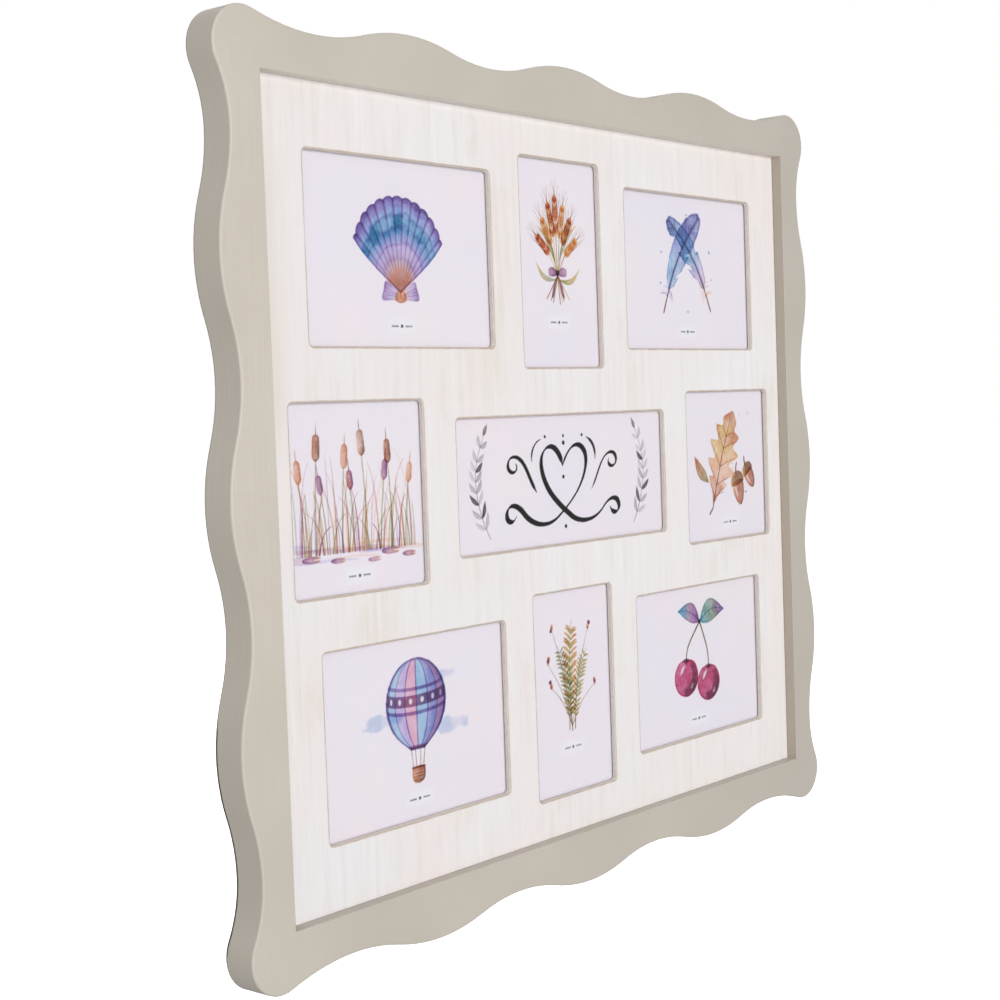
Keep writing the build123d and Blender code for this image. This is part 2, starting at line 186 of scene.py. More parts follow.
# ---------------------------------------------------------------- rails: greige paint
def rail_paint():
    g = Graph("rail_paint")
    x, y, z = g.mm()
    nx, ny, nz = g.normal()
    facing = g.span(g.mul(ny, -1.0), 0.80, 0.985)
    behind = g.span(ny, 0.55, 0.9)
    # brush strokes: along each rail, crossed faintly, and along the edge on the outer walls
    ax, az = g.math("ABSOLUTE", x), g.math("ABSOLUTE", z)
    upright = g.span(g.sub(g.sub(ax, HALF_W), g.sub(az, HALF_H)), -10.0, 10.0, 0.3, 0.7)
    s_level = g.noise(g.vec(g.mul(x, 0.018), g.mul(y, 0.05), g.mul(z, 0.95)), 1.0, 3.0, 0.6)
    s_plumb = g.noise(g.vec(g.mul(x, 0.95), g.mul(y, 0.05), g.mul(z, 0.018)), 1.0, 3.0, 0.6)
    s_face = g.add(g.mul(s_plumb, upright), g.mul(s_level, g.sub(1.0, upright)))
    s_wall = g.noise(g.vec(g.mul(x, 0.02), g.mul(y, 1.15), g.mul(z, 0.02)), 1.0, 3.0, 0.6)
    fm = g.node("Mix", data_type="FLOAT")
    g.put(fm.inputs[0], facing); g.put(fm.inputs[2], s_wall); g.put(fm.inputs[3], s_face)
    stroke = fm.outputs[0]
    stipple = g.noise(g.vec(x, y, z), 0.9, 3.0, 0.55)
    broad = g.noise(g.vec(x, y, z), 0.011, 2.0, 0.5)
    base = g.ramp(broad, [(0.3, srgb(199, 191, 179)), (0.5, srgb(203, 195, 184)), (0.72, srgb(207, 200, 189))])
    # painted light: the paint lighter at the left and darker towards the right, towards the top and bottom ends (more
    # so on the left) and at the lower left, in place of how the light falls
    painted_shade_ends = g.mul(g.math("POWER", g.mul(az, 1.0 / HALF_H), 2.0), g.span(x, 100.0, -240.0, 0.02, 0.07))
    low = g.mul(g.span(z, -40.0, -150.0, 0.0, 0.036), g.span(x, 40.0, -250.0, 0.0, 1.0))
    painted_light_falloff = g.sub(g.sub(g.sub(1.03, g.mul(x, 0.05 / HALF_W)), painted_shade_ends), low)
    base = g.node("VectorMath", {0: base, "Scale": painted_light_falloff}, operation="SCALE").outputs[0]
    base = g.mix(g.span(stroke, 0.32, 0.68, 0.0, 0.5), base, srgb(197, 189, 177))
    base = g.mix(g.span(stroke, 0.58, 0.76, 0.0, 0.4), base, srgb(212, 206, 196))
    # eased front edge, lighter: partly rubbed paint, partly a painted highlight that fades towards the bottom
    edge = g.mul(g.span(g.mul(ny, -1.0), 0.98, 0.75), g.span(g.mul(ny, -1.0), 0.03, 0.30))
    lining = g.mul(g.math("LESS_THAN", ax, HALF_W + 2.0), g.math("LESS_THAN", az, HALF_H + 2.0))
    rub_and_painted_highlight = g.mul(edge, g.span(g.noise(g.vec(x, y, g.mul(z, 0.4)), 0.03, 3.0, 0.6), 0.35, 0.6, 0.05, 0.6))
    rub_and_painted_highlight = g.mul(rub_and_painted_highlight, g.span(z, -140.0, 20.0, 0.15, 1.0))
    base = g.mix(g.mul(rub_and_painted_highlight, g.sub(1.0, g.mul(lining, 0.7))), base, srgb(212, 205, 195))
    # walls of the opening: painted shade on the side walls, painted light on the down-facing top wall, and a painted
    # shade line in the corner by the panel
    painted_shade_sidewall = g.mul(g.mul(lining, g.span(g.math("ABSOLUTE", nx), 0.6, 0.9)), g.math("LESS_THAN", ax, HALF_W + 0.3))
    base = g.mix(g.mul(painted_shade_sidewall, 0.85), base, srgb(172, 163, 149))
    painted_light_ceiling = g.mul(g.mul(lining, g.span(nz, -0.6, -0.9)), g.math("LESS_THAN", az, HALF_H + 0.3))
    base = g.mix(g.mul(painted_light_ceiling, 0.9), base, srgb(228, 222, 213))
    # painted shade: a dark line in the corner where the walls meet the panel, weaker on the top wall
    seam = g.span(y, -(DEPTH - LIP) - 1.3, -(DEPTH - LIP))
    seam = g.mul(seam, g.sub(1.0, g.mul(painted_light_ceiling, 0.75)))
    base = g.mix(g.mul(g.mul(lining, seam), g.span(g.math("ABSOLUTE", ny), 0.5, 0.2, 0.0, 0.75)), base, srgb(128, 118, 106))
    # a dark band along the back edge of the outer wall, wider and darker at the lower left
    low_left = g.mul(g.mul(g.span(z, -252.0, -238.0), g.span(z, -112.0, -122.0)), g.math("LESS_THAN", x, 0.0))
    back_band_reach = g.add(g.add(y, g.mul(g.sub(stipple, 0.5), 0.8)), g.mul(low_left, 0.75))
    dark_back_band = g.mul(g.span(back_band_reach, -1.3, -0.8), g.sub(1.0, behind))
    base = g.mix(g.mul(dark_back_band, g.add(g.mul(low_left, 0.35), 0.6)), base, srgb(72, 65, 59))
    # back and rabbet: bare board with paint mist along the rim
    raw, raw_h = raw_fibre(g, x, y, z)
    inner = g.mul(g.math("LESS_THAN", ax, HALF_W + RABBET + 0.05), g.math("LESS_THAN", az, HALF_H + RABBET + 0.05))
    deep = g.mul(inner, g.math("GREATER_THAN", y, -(DEPTH - LIP) - 0.05))
    mist = g.span(g.noise(g.vec(x, y, z), 0.05, 5.0, 0.7), 0.45, 0.75, 0.0, 0.55)
    raw = g.mix(mist, raw, srgb(186, 176, 162))
    bare_all = g.high(behind, deep)
    colour = g.mix(bare_all, base, raw)
    height = g.add(g.mul(stroke, 0.75), g.mul(stipple, 0.25))
    fh = g.node("Mix", data_type="FLOAT")
    g.put(fh.inputs[0], bare_all); g.put(fh.inputs[2], height); g.put(fh.inputs[3], raw_h)
    rough = g.add(g.add(g.span(stroke, 0.25, 0.75, 0.42, 0.54, smooth=False), g.mul(bare_all, 0.36)), g.mul(edge, g.span(z, -140.0, 20.0, 0.38, 0.2)))
    g.surface(Base_Color=colour, Roughness=rough, Specular_IOR_Level=0.4, Normal=g.bump(fh.outputs[0], 0.22, 0.0004))
    return g.m


# ---------------------------------------------------------------- panel: whitewash
def rect_gap(g, ax, az, cx, cz, w, h):
    """Distance outside a rectangle in the folded quarter of the panel, in mm."""
    dx = g.sub(g.math("ABSOLUTE", g.sub(ax, cx)), w / 2 - WINDOW_R)
    dz = g.sub(g.math("ABSOLUTE", g.sub(az, cz)), h / 2 - WINDOW_R)
    out = g.math("SQRT", g.add(g.math("POWER", g.high(dx, 0.0), 2.0), g.math("POWER", g.high(dz, 0.0), 2.0)))
    return g.sub(g.add(out, g.low(g.high(dx, dz), 0.0)), WINDOW_R)


def whitewash():
    g = Graph("whitewash")
    x, y, z = g.mm()
    nx, ny, nz = g.normal()
    front = g.span(g.mul(ny, -1.0), 0.86, 0.97)
    behind = g.span(ny, 0.5, 0.8)
    slant = g.mul(g.span(g.mul(ny, -1.0), 0.97, 0.86), g.span(g.mul(ny, -1.0), 0.25, 0.5))
    wide = g.noise(g.vec(g.mul(x, 0.0085), 0.0, g.mul(z, 0.0065)), 1.0, 3.0, 0.55)
    wide2 = g.noise(g.vec(g.mul(x, 0.016), 3.7, g.mul(z, 0.0075)), 1.0, 3.0, 0.6)
    thin = g.noise(g.vec(g.mul(x, 0.019), 8.2, g.mul(z, 0.012)), 1.0, 4.0, 0.6)
    streak = g.noise(g.vec(g.mul(x, 0.20), 0.0, g.mul(z, 0.011)), 1.0, 4.0, 0.62)
    grain = g.noise(g.vec(g.mul(x, 1.10), 0.0, g.mul(z, 0.040)), 1.0, 3.0, 0.62)
    drag = g.noise(g.vec(g.mul(x, 0.55), 9.0, g.mul(z, 0.060)), 1.0, 4.0, 0.65)
    c = g.ramp(wide, [(0.32, srgb(243, 237, 234)), (0.5, srgb(243, 239, 238)), (0.68, srgb(243, 241, 242))])
    c = g.mix(g.span(wide2, 0.48, 0.68, 0.0, 0.55), c, srgb(245, 235, 234))
    c = g.mix(g.mul(g.span(thin, 0.52, 0.72, 0.0, 0.5), g.span(streak, 0.62, 0.38, 0.35, 1.0)), c, srgb(231, 217, 203))
    c = g.mix(g.span(streak, 0.50, 0.30, 0.0, 0.46), c, srgb(232, 226, 221))
    c = g.mix(g.span(streak, 0.54, 0.72, 0.0, 0.55), c, srgb(249, 248, 248))
    c = g.mix(g.span(grain, 0.46, 0.28, 0.0, 0.32), c, srgb(223, 215, 208))
    c = g.mix(g.mul(g.span(drag, 0.40, 0.26, 0.0, 0.45), g.span(thin, 0.42, 0.62)), c, srgb(216, 199, 183))
    c = g.mix(g.mul(g.span(x, -242.0, -268.0, 0.0, 0.45), g.mul(g.span(z, 10.0, 60.0), g.span(z, 215.0, 170.0))), c, srgb(228, 213, 196))
    # painted light: the whitewash lighter towards the right, and lighter in a thin band just under the top rail to
    # cancel the shade there
    lift = g.add(g.mul(x, 0.055 / HALF_W), g.span(z, HALF_H - 6.0, HALF_H - 1.0, 0.99, 1.05))
    c = g.node("VectorMath", {0: c, "Scale": lift}, operation="SCALE").outputs[0]
    # sanded window rims: the brown board shows through
    ax, az = g.math("ABSOLUTE", x), g.math("ABSOLUTE", z)
    gap = None
    for w in WINDOWS.values():
        d = rect_gap(g, ax, az, *w)
        gap = d if gap is None else g.low(gap, d)
    worn = g.noise(g.vec(x, y, z), 0.11, 4.0, 0.6)
    worn2 = g.noise(g.vec(x, y, z), 0.9, 3.0, 0.6)
    reach = g.add(g.span(worn, 0.35, 0.7, 0.25, 1.5), g.mul(g.sub(worn2, 0.5), 0.9))
    tint = g.span(g.sub(gap, reach), 0.25, -0.55)
    c = g.mix(g.mul(tint, 0.34), c, srgb(208, 189, 170))
    lip = g.span(g.add(gap, g.mul(g.sub(worn2, 0.5), 0.7)), 1.7, 0.6)
    c = g.mix(g.mul(lip, g.span(worn, 0.25, 0.6, 0.5, 0.9)), c, srgb(184, 165, 149))
    # cut walls of the windows: thin wash over brown
    wall = g.ramp(g.noise(g.vec(g.mul(x, 0.35), g.mul(y, 1.6), g.mul(z, 0.35)), 1.0, 4.0, 0.6),
                  [(0.3, srgb(194, 186, 180)), (0.55, srgb(208, 202, 197)), (0.75, srgb(219, 214, 211))])
    # painted light: the top and bottom walls and chamfers of the windows lighter than the side ones
    updown_painted_light = g.math("ABSOLUTE", nz)
    wall = g.mix(g.span(updown_painted_light, 0.6, 0.9, 0.0, 0.75), wall, srgb(238, 232, 226))
    c = g.mix(g.sub(1.0, g.high(front, slant)), c, wall)
    c = g.mix(g.mul(slant, g.span(worn, 0.25, 0.6, 0.45, 0.9)), c, g.mix(g.span(updown_painted_light, 0.3, 0.6), srgb(192, 169, 147), srgb(214, 197, 181)))
    flank = g.mul(slant, g.span(g.math("ABSOLUTE", nx), 0.3, 0.6))
    c = g.mix(g.mul(flank, 0.6), c, srgb(222, 214, 206))
    raw, raw_h = raw_fibre(g, x, y, z)
    c = g.mix(behind, c, raw)
    height = g.add(g.mul(grain, 0.55), g.add(g.mul(streak, 0.25), g.mul(drag, 0.35)))
    rough = g.span(streak, 0.3, 0.7, 0.66, 0.52, smooth=False)
    g.surface(Base_Color=c, Roughness=rough, Specular_IOR_Level=0.3, Normal=g.bump(height, 0.22, 0.0005))
    return g.m


# ---------------------------------------------------------------- other boards
def raw_board():
    g = Graph("raw_board")
    x, y, z = g.mm()
    c, h = raw_fibre(g, x, y, z)
    saw = g.noise(g.vec(g.mul(x, 0.9), g.mul(y, 1.4), g.mul(z, 0.03)), 1.0, 3.0, 0.6)
    c = g.mix(g.span(saw, 0.42, 0.3, 0.0, 0.25), c, srgb(140, 110, 78))
    g.surface(Base_Color=c, Roughness=g.span(h, 0.3, 0.7, 0.92, 0.78, smooth=False), Specular_IOR_Level=0.2, Normal=g.bump(h, 0.3, 0.0004))
    return g.m


def hardboard():
    g = Graph("hardboard")
    x, y, z = g.mm()
    p = g.vec(x, y, z)
    fine = g.noise(p, 1.1, 5.0, 0.7)
    cloud = g.noise(p, 0.035, 3.0, 0.55)
    c = g.ramp(fine, [(0.25, srgb(74, 50, 33)), (0.5, srgb(102, 72, 48)), (0.78, srgb(134, 100, 70))])
    c = g.mix(g.span(cloud, 0.4, 0.7, 0.0, 0.4), c, srgb(88, 60, 40))
    # the screen's weave pressed into the rough side
    wx = g.math("SINE", g.mul(x, 4.1))
    wz = g.math("SINE", g.mul(z, 4.1))
    weave = g.mul(g.add(g.high(wx, wz), 1.0), 0.5)
    c = g.mix(g.span(weave, 0.65, 1.0, 0.0, 0.28), c, srgb(60, 40, 27))
    h = g.add(g.mul(weave, -0.5), g.mul(fine, 0.5))
    g.surface(Base_Color=c, Roughness=g.span(fine, 0.3, 0.7, 0.72, 0.55, smooth=False), Specular_IOR_Level=0.3, Normal=g.bump(h, 0.45, 0.0004))
    return g.m


# ---------------------------------------------------------------- metal, glass
def zinc():
    g = Graph("zinc_steel")
    co = g.node("TexCoord").outputs["Object"]
    spangle = g.node("TexVoronoi", {"Vector": co, "Scale": 420.0}, feature="F1").outputs["Color"]
    tone = g.node("SeparateColor", {0: spangle}).outputs[0]
    scratch = g.noise(g.node("VectorMath", {0: co, 1: (900.0, 9000.0, 9000.0)}, operation="MULTIPLY").outputs[0], 1.0, 2.0, 0.5)
    smudge = g.noise(co, 160.0, 4.0, 0.6)
    c = g.mix(tone, srgb(184, 183, 179), srgb(210, 209, 205))
    c = g.mix(g.span(smudge, 0.55, 0.75, 0.0, 0.35), c, srgb(160, 155, 144))
    rough = g.add(g.span(scratch, 0.3, 0.7, 0.34, 0.48, smooth=False), g.mul(tone, 0.06))
    g.surface(Base_Color=c, Metallic=1.0, Roughness=rough, Normal=g.bump(scratch, 0.08, 0.0002))
    return g.m


def clear_glass():
    g = Graph("clear_glass")
    x, y, z = g.mm()
    film = g.noise(g.vec(x, y, z), 0.026, 4.0, 0.6)
    gloss = g.node("BsdfGlossy", {"Color": (1, 1, 1, 1), "Roughness": g.span(film, 0.35, 0.75, 0.09, 0.15, smooth=False)})
    clear = g.node("BsdfTransparent", {"Color": (0.99, 0.995, 0.992, 1.0)})
    facing = g.node("LayerWeight", {"Blend": 0.5}).outputs["Facing"]
    mirror = g.add(g.mul(g.math("POWER", facing, 5.0), 0.9), 0.03)
    outer = g.math("LESS_THAN", y, -(DEPTH - LIP - PANEL_T) + 0.3)
    s = g.node("MixShader", {0: g.mul(mirror, outer), 1: clear.outputs[0], 2: gloss.outputs[0]})
    g.t.links.new(s.outputs[0], g.out.inputs[0])
    return g.m


# ---------------------------------------------------------------- dress the CAD nodes
greige, wash, board, hard, metal, glass = rail_paint(), whitewash(), raw_board(), hardboard(), zinc(), clear_glass()
dress(["top_rail", "bottom_rail", "left_rail", "right_rail"], greige)
dress(["face_panel"], wash)
dress(["pocket_board"], board)
dress([f"backing_{p}" for p in PLACES], hard)
dress([f"glass_{p}" for p in PLACES], glass)
dress([n for n in NODES if n.startswith("turn_button") or n.startswith("keyhole") or n in ("framers_points", "corner_v_nails")], metal)


# ---------------------------------------------------------------- watercolour
def to_linear(c):
    c = np.clip(np.asarray(c, float), 0, 1)
    return np.where(c <= 0.04045, c / 12.92, ((c + 0.055) / 1.055) ** 2.4)


def pigment(r, g, b):
    """Absorbance of one layer of paint that looks like this colour on white."""
    return -np.log(np.clip(to_linear(np.array((r, g, b)) / 255), 0.004, 0.995))


TEAL, DEEP_TEAL, SKY = pigment(74, 158, 184), pigment(34, 98, 132), pigment(128, 184, 222)
PERI, INDIGO, LAVENDER = pigment(126, 140, 208), pigment(56, 64, 132), pigment(178, 164, 220)
PURPLE, PLUM, PINK = pigment(116, 78, 142), pigment(96, 44, 86), pigment(224, 160, 188)
RASP, PEACH, RUST = pigment(182, 54, 96), pigment(240, 186, 150), pigment(180, 96, 60)
BROWN, GOLD, OLIVE = pigment(112, 70, 54), pigment(220, 176, 96), pigment(128, 130, 74)
SAGE, GREY, INK, MAUVE = pigment(144, 160, 132), pigment(150, 146, 152), pigment(46, 36, 40), pigment(176, 132, 160)


def hash2(i, j, seed):
    h = (i.astype(np.int64) * 374761393 + j.astype(np.int64) * 668265263 + int(seed) * 1442695041) & 0xFFFFFFFF
    h = ((h ^ (h >> 13)) * 1274126177) & 0xFFFFFFFF
    return ((h ^ (h >> 16)) & 0xFFFF) / 65535.0


def vnoise(x, y, seed):
    i, j = np.floor(x), np.floor(y)
    fx, fy = x - i, y - j
    fx, fy = fx * fx * (3 - 2 * fx), fy * fy * (3 - 2 * fy)
    a = hash2(i, j, seed) * (1 - fx) + hash2(i + 1, j, seed) * fx
    b = hash2(i, j + 1, seed) * (1 - fx) + hash2(i + 1, j + 1, seed) * fx
    return a * (1 - fy) + b * fy


def fbm(x, y, size, seed, octaves=4, gain=0.55):
    """Cloudy field, about 0 to 1 with mean 0.5, whose largest blots are size mm."""
    total, amp, norm = 0.0, 1.0, 0.0
    for k in range(octaves):
        f = 2.0 ** k / size
        total = total + amp * vnoise(x * f + 7.3 * k, y * f - 3.1 * k, seed + 31 * k)
        norm += amp
        amp *= gain
    return total / norm


def step(a, b, x):
    t = np.clip((x - a) / (b - a), 0, 1)
    return t * t * (3 - 2 * t)


def hump(x, a, b, soft):
    """1 between a and b, falling to 0 over soft."""
    return step(a - soft, a + soft, x) * (1 - step(b - soft, b + soft, x))


def spline(pts, n=10, closed=True):
    """A smooth curve through the points."""
    p = np.asarray(pts, float)
    k = len(p)
    out = []
    for i in range(k if closed else k - 1):
        if closed:
            a, b, c, d = p[(i - 1) % k], p[i], p[(i + 1) % k], p[(i + 2) % k]
        else:
            a, b, c, d = p[max(i - 1, 0)], p[i], p[i + 1], p[min(i + 2, k - 1)]
        t = np.linspace(0, 1, n, endpoint=False)[:, None]
        out.append(0.5 * (2 * b + (c - a) * t + (2 * a - 5 * b + 4 * c - d) * t ** 2 + (3 * b - a - 3 * c + d) * t ** 3))
    if not closed:
        out.append(p[-1:])
    return np.concatenate(out)


def poly_sd(x, y, pts):
    """Signed distance to a closed outline, negative inside."""
    d = np.full(x.shape, 1e9)
    inside = np.zeros(x.shape, bool)
    q = np.roll(pts, -1, 0)
    for (ax, ay), (bx, by) in zip(pts, q):
        ex, ey = bx - ax, by - ay
        wx, wy = x - ax, y - ay
        t = np.clip((wx * ex + wy * ey) / (ex * ex + ey * ey + 1e-12), 0, 1)
        d = np.minimum(d, (wx - ex * t) ** 2 + (wy - ey * t) ** 2)
        if ay != by:
            inside ^= ((ay > y) != (by > y)) & (x < ex * (y - ay) / ey + ax)
    return np.where(inside, -1, 1) * np.sqrt(d)


def line_sd(x, y, pts, radii):
    """Distance to the edge of a stroke whose half width changes along it."""
    best = np.full(x.shape, 1e9)
    for k in range(len(pts) - 1):
        (ax, ay), (bx, by) = pts[k], pts[k + 1]
        ex, ey = bx - ax, by - ay
        t = np.clip(((x - ax) * ex + (y - ay) * ey) / (ex * ex + ey * ey + 1e-12), 0, 1)
        r = radii[k] + (radii[k + 1] - radii[k]) * t
        best = np.minimum(best, np.hypot(x - ax - ex * t, y - ay - ey * t) - r)
    return best


class Sheet:
    """A card being painted. Places are in mm from its middle."""

    def __init__(self, u, v, seed, base=(245, 236.5, 246.5)):
        self.u, self.v, self.seed, self.count = u, v, seed, 0
        cloud = fbm(u, v, 55, seed, 3)
        pink = fbm(u, v, 42, seed + 5, 3)
        c = np.ones(u.shape + (3,)) * np.array(base)
        c += (cloud - 0.5)[..., None] * np.array((-3.0, -2.0, 2.0)) * 1.6
        c += step(0.58, 0.85, pink)[..., None] * np.array((3.0, -1.0, -1.0))
        self.paper = to_linear(c / 255)
        self.c = self.paper.copy()

    def near(self, pts, pad):
        lo, hi = np.min(pts, 0) - pad, np.max(pts, 0) + pad
        us, vs = self.u[0], self.v[:, 0]
        a, b = np.searchsorted(us, lo[0]), np.searchsorted(us, hi[0])
        c, d = np.searchsorted(vs, lo[1]), np.searchsorted(vs, hi[1])
        w = (slice(c, d), slice(a, b))
        return w, self.u[w], self.v[w]

    def thin(self, k):
        """Water the whole picture down: k of its paint stays."""
        self.c = self.paper * (self.c / self.paper) ** k

    def lay(self, w, amount, ink):
        """Glaze a window of the sheet: amount times the pigment."""
        self.c[w] *= np.exp(-np.clip(amount, 0, 6)[..., None] * ink)

    def fill(self, w, x, y, sd, inks, along=None, density=1.0, edge=0.45, rim=0.9, soft=0.35, mottle=0.5, grain=0.25, wobble=0.5, blot=6.0):
        """A wash inside sd < 0: darker where it dried at the rim, cloudy within."""
        self.count += 1
        s = self.seed * 97 + self.count * 13
        sd = sd + (fbm(x, y, 3.0, s, 3) - 0.5) * wobble
        cover = 1 - step(-soft, soft, sd)
        ring = np.exp(-((sd + 0.35) / rim) ** 2) * edge
        body = 1 + (fbm(x, y, blot, s + 3, 4) - 0.5) * 2 * mottle + (fbm(x, y, 1.1, s + 7, 2) - 0.5) * 2 * grain
        amount = density * cover * np.clip(body + ring, 0.05, None)
        if along is None:
            self.lay(w, amount, inks)
        else:
            t = np.clip(along, 0, 1) * (len(inks) - 1)
            for k, ink in enumerate(inks):
                self.lay(w, amount * np.clip(1 - np.abs(t - k), 0, 1), ink)

    def shape(self, pts, inks, ramp=None, **kw):
        """A wash over a closed outline. ramp is (from, to): the pigments change between those places."""
        pts = np.asarray(pts, float)
        w, x, y = self.near(pts, 2.5)
        if x.size == 0:
            return
        along = None
        if ramp is not None:
            a, b = np.asarray(ramp[0], float), np.asarray(ramp[1], float)
            e = b - a
            along = ((x - a[0]) * e[0] + (y - a[1]) * e[1]) / (e @ e)
            along = along + (fbm(x, y, 9, self.seed + 71 + self.count, 3) - 0.5) * 0.5
        self.fill(w, x, y, poly_sd(x, y, pts), inks, along, **kw)

    def stroke(self, pts, r0, r1, ink, density=1.0, mid=None, soft=0.25, mottle=0.35, grain=0.3, edge=0.2, wobble=0.22):
        pts = np.asarray(pts, float)
        n = len(pts)
        t = np.linspace(0, 1, n)
        radii = r0 + (r1 - r0) * t if mid is None else np.where(t < 0.5, r0 + (mid - r0) * np.sin(t * math.pi), r1 + (mid - r1) * np.sin(t * math.pi))
        w, x, y = self.near(pts, max(radii) + 1.5)
        if x.size == 0:
            return
        self.fill(w, x, y, line_sd(x, y, pts, radii), ink, None, density=density, soft=soft, mottle=mottle, grain=grain, edge=edge, rim=0.4, wobble=wobble)

    def dot(self, x0, y0, r, ink, density=1.0, **kw):
        w, x, y = self.near(np.array([[x0 - r, y0 - r], [x0 + r, y0 + r]]), 1.5)
        if x.size:
            self.fill(w, x, y, np.hypot(x - x0, y - y0) - r, ink, None, density=density, **kw)

    def lift(self, pts, amount, soft=1.2):
        """Lift paint off with a damp brush."""
        pts = np.asarray(pts, float)
        w, x, y = self.near(pts, soft + 1)
        if x.size == 0:
            return
        a = amount * (1 - step(-soft, soft, poly_sd(x, y, pts)))[..., None]
        self.c[w] = self.c[w] * (1 - a) + self.paper[w] * 1.02 * a

    def tag(self, x0, y0, wide=24.0, tall=9.0):
        """The small pale patch under a picture, with a plain dash and dots."""
        w, x, y = self.near(np.array([[x0 - wide / 2, y0 - tall / 2], [x0 + wide / 2, y0 + tall / 2]]), 2)
        d = np.maximum(np.abs(x - x0) - wide / 2, np.abs(y - y0) - tall / 2)
        a = 0.75 * (1 - step(-1.2, 1.2, d))[..., None]
        self.c[w] = self.c[w] * (1 - a) + np.array(to_linear(np.array((246, 244, 250)) / 255)) * a
        for k in (-1, 1):
            self.stroke([(x0 + k * 3.4, y0), (x0 + k * 8.6, y0)], 0.42, 0.42, GREY, 0.95, soft=0.3, wobble=0.1)
        self.dot(x0, y0, 0.95, GREY, 1.6, soft=0.3, wobble=0.1)


def arc(cx, cy, r, a0, a1, n=24, squash=1.0):
    t = np.radians(np.linspace(a0, a1, n))
    return np.stack([cx + r * np.cos(t), cy + r * np.sin(t) * squash], 1)


def turn(pts, angle, at=(0, 0), move=(0, 0), scale=1.0):
    a = math.radians(angle)
    p = (np.asarray(pts, float) - at) * scale
    return np.stack([p[:, 0] * math.cos(a) - p[:, 1] * math.sin(a), p[:, 0] * math.sin(a) + p[:, 1] * math.cos(a)], 1) + at + np.asarray(move)


def leaf_outline(base, tip, width, bend=0.0, n=14, sharp=1.0):
    """A pointed leaf from base to tip."""
    base, tip = np.asarray(base, float), np.asarray(tip, float)
    e = tip - base
    side = np.array([-e[1], e[0]]) / np.hypot(*e)
    t = np.linspace(0, 1, n)
    mid = base + e * t[:, None] + side * (bend * np.sin(math.pi * t))[:, None]
    half = width / 2 * np.sin(math.pi * t ** 0.85) ** sharp
    return np.concatenate([mid + side * half[:, None], (mid - side * half[:, None])[::-1][1:-1]]), mid


def leaf(s, base, tip, width, inks, bend=0.0, density=1.0, veins=0, vein_ink=None, **kw):
    out, mid = leaf_outline(base, tip, width, bend)
    s.shape(out, inks, (base, tip) if isinstance(inks, list) else None, density=density, **kw)
    if veins:
        v = vein_ink if vein_ink is not None else (inks[-1] if isinstance(inks, list) else inks)
        s.stroke(mid, 0.32, 0.12, v, 0.8)
        e = np.asarray(tip, float) - np.asarray(base, float)
        u = e / np.hypot(*e)
        side = np.array([-u[1], u[0]])
        for k in range(1, veins + 1):
            t = k / (veins + 1.0)
            p = mid[int(t * (len(mid) - 1))]
            half = width / 2 * math.sin(math.pi * t ** 0.85) * 0.82
            for sg in (-1, 1):
                s.stroke([p, p + side * sg * half * 0.45 + u * half * 0.30, p + side * sg * half * 0.78 + u * half * 0.55], 0.2, 0.08, v, 0.55)


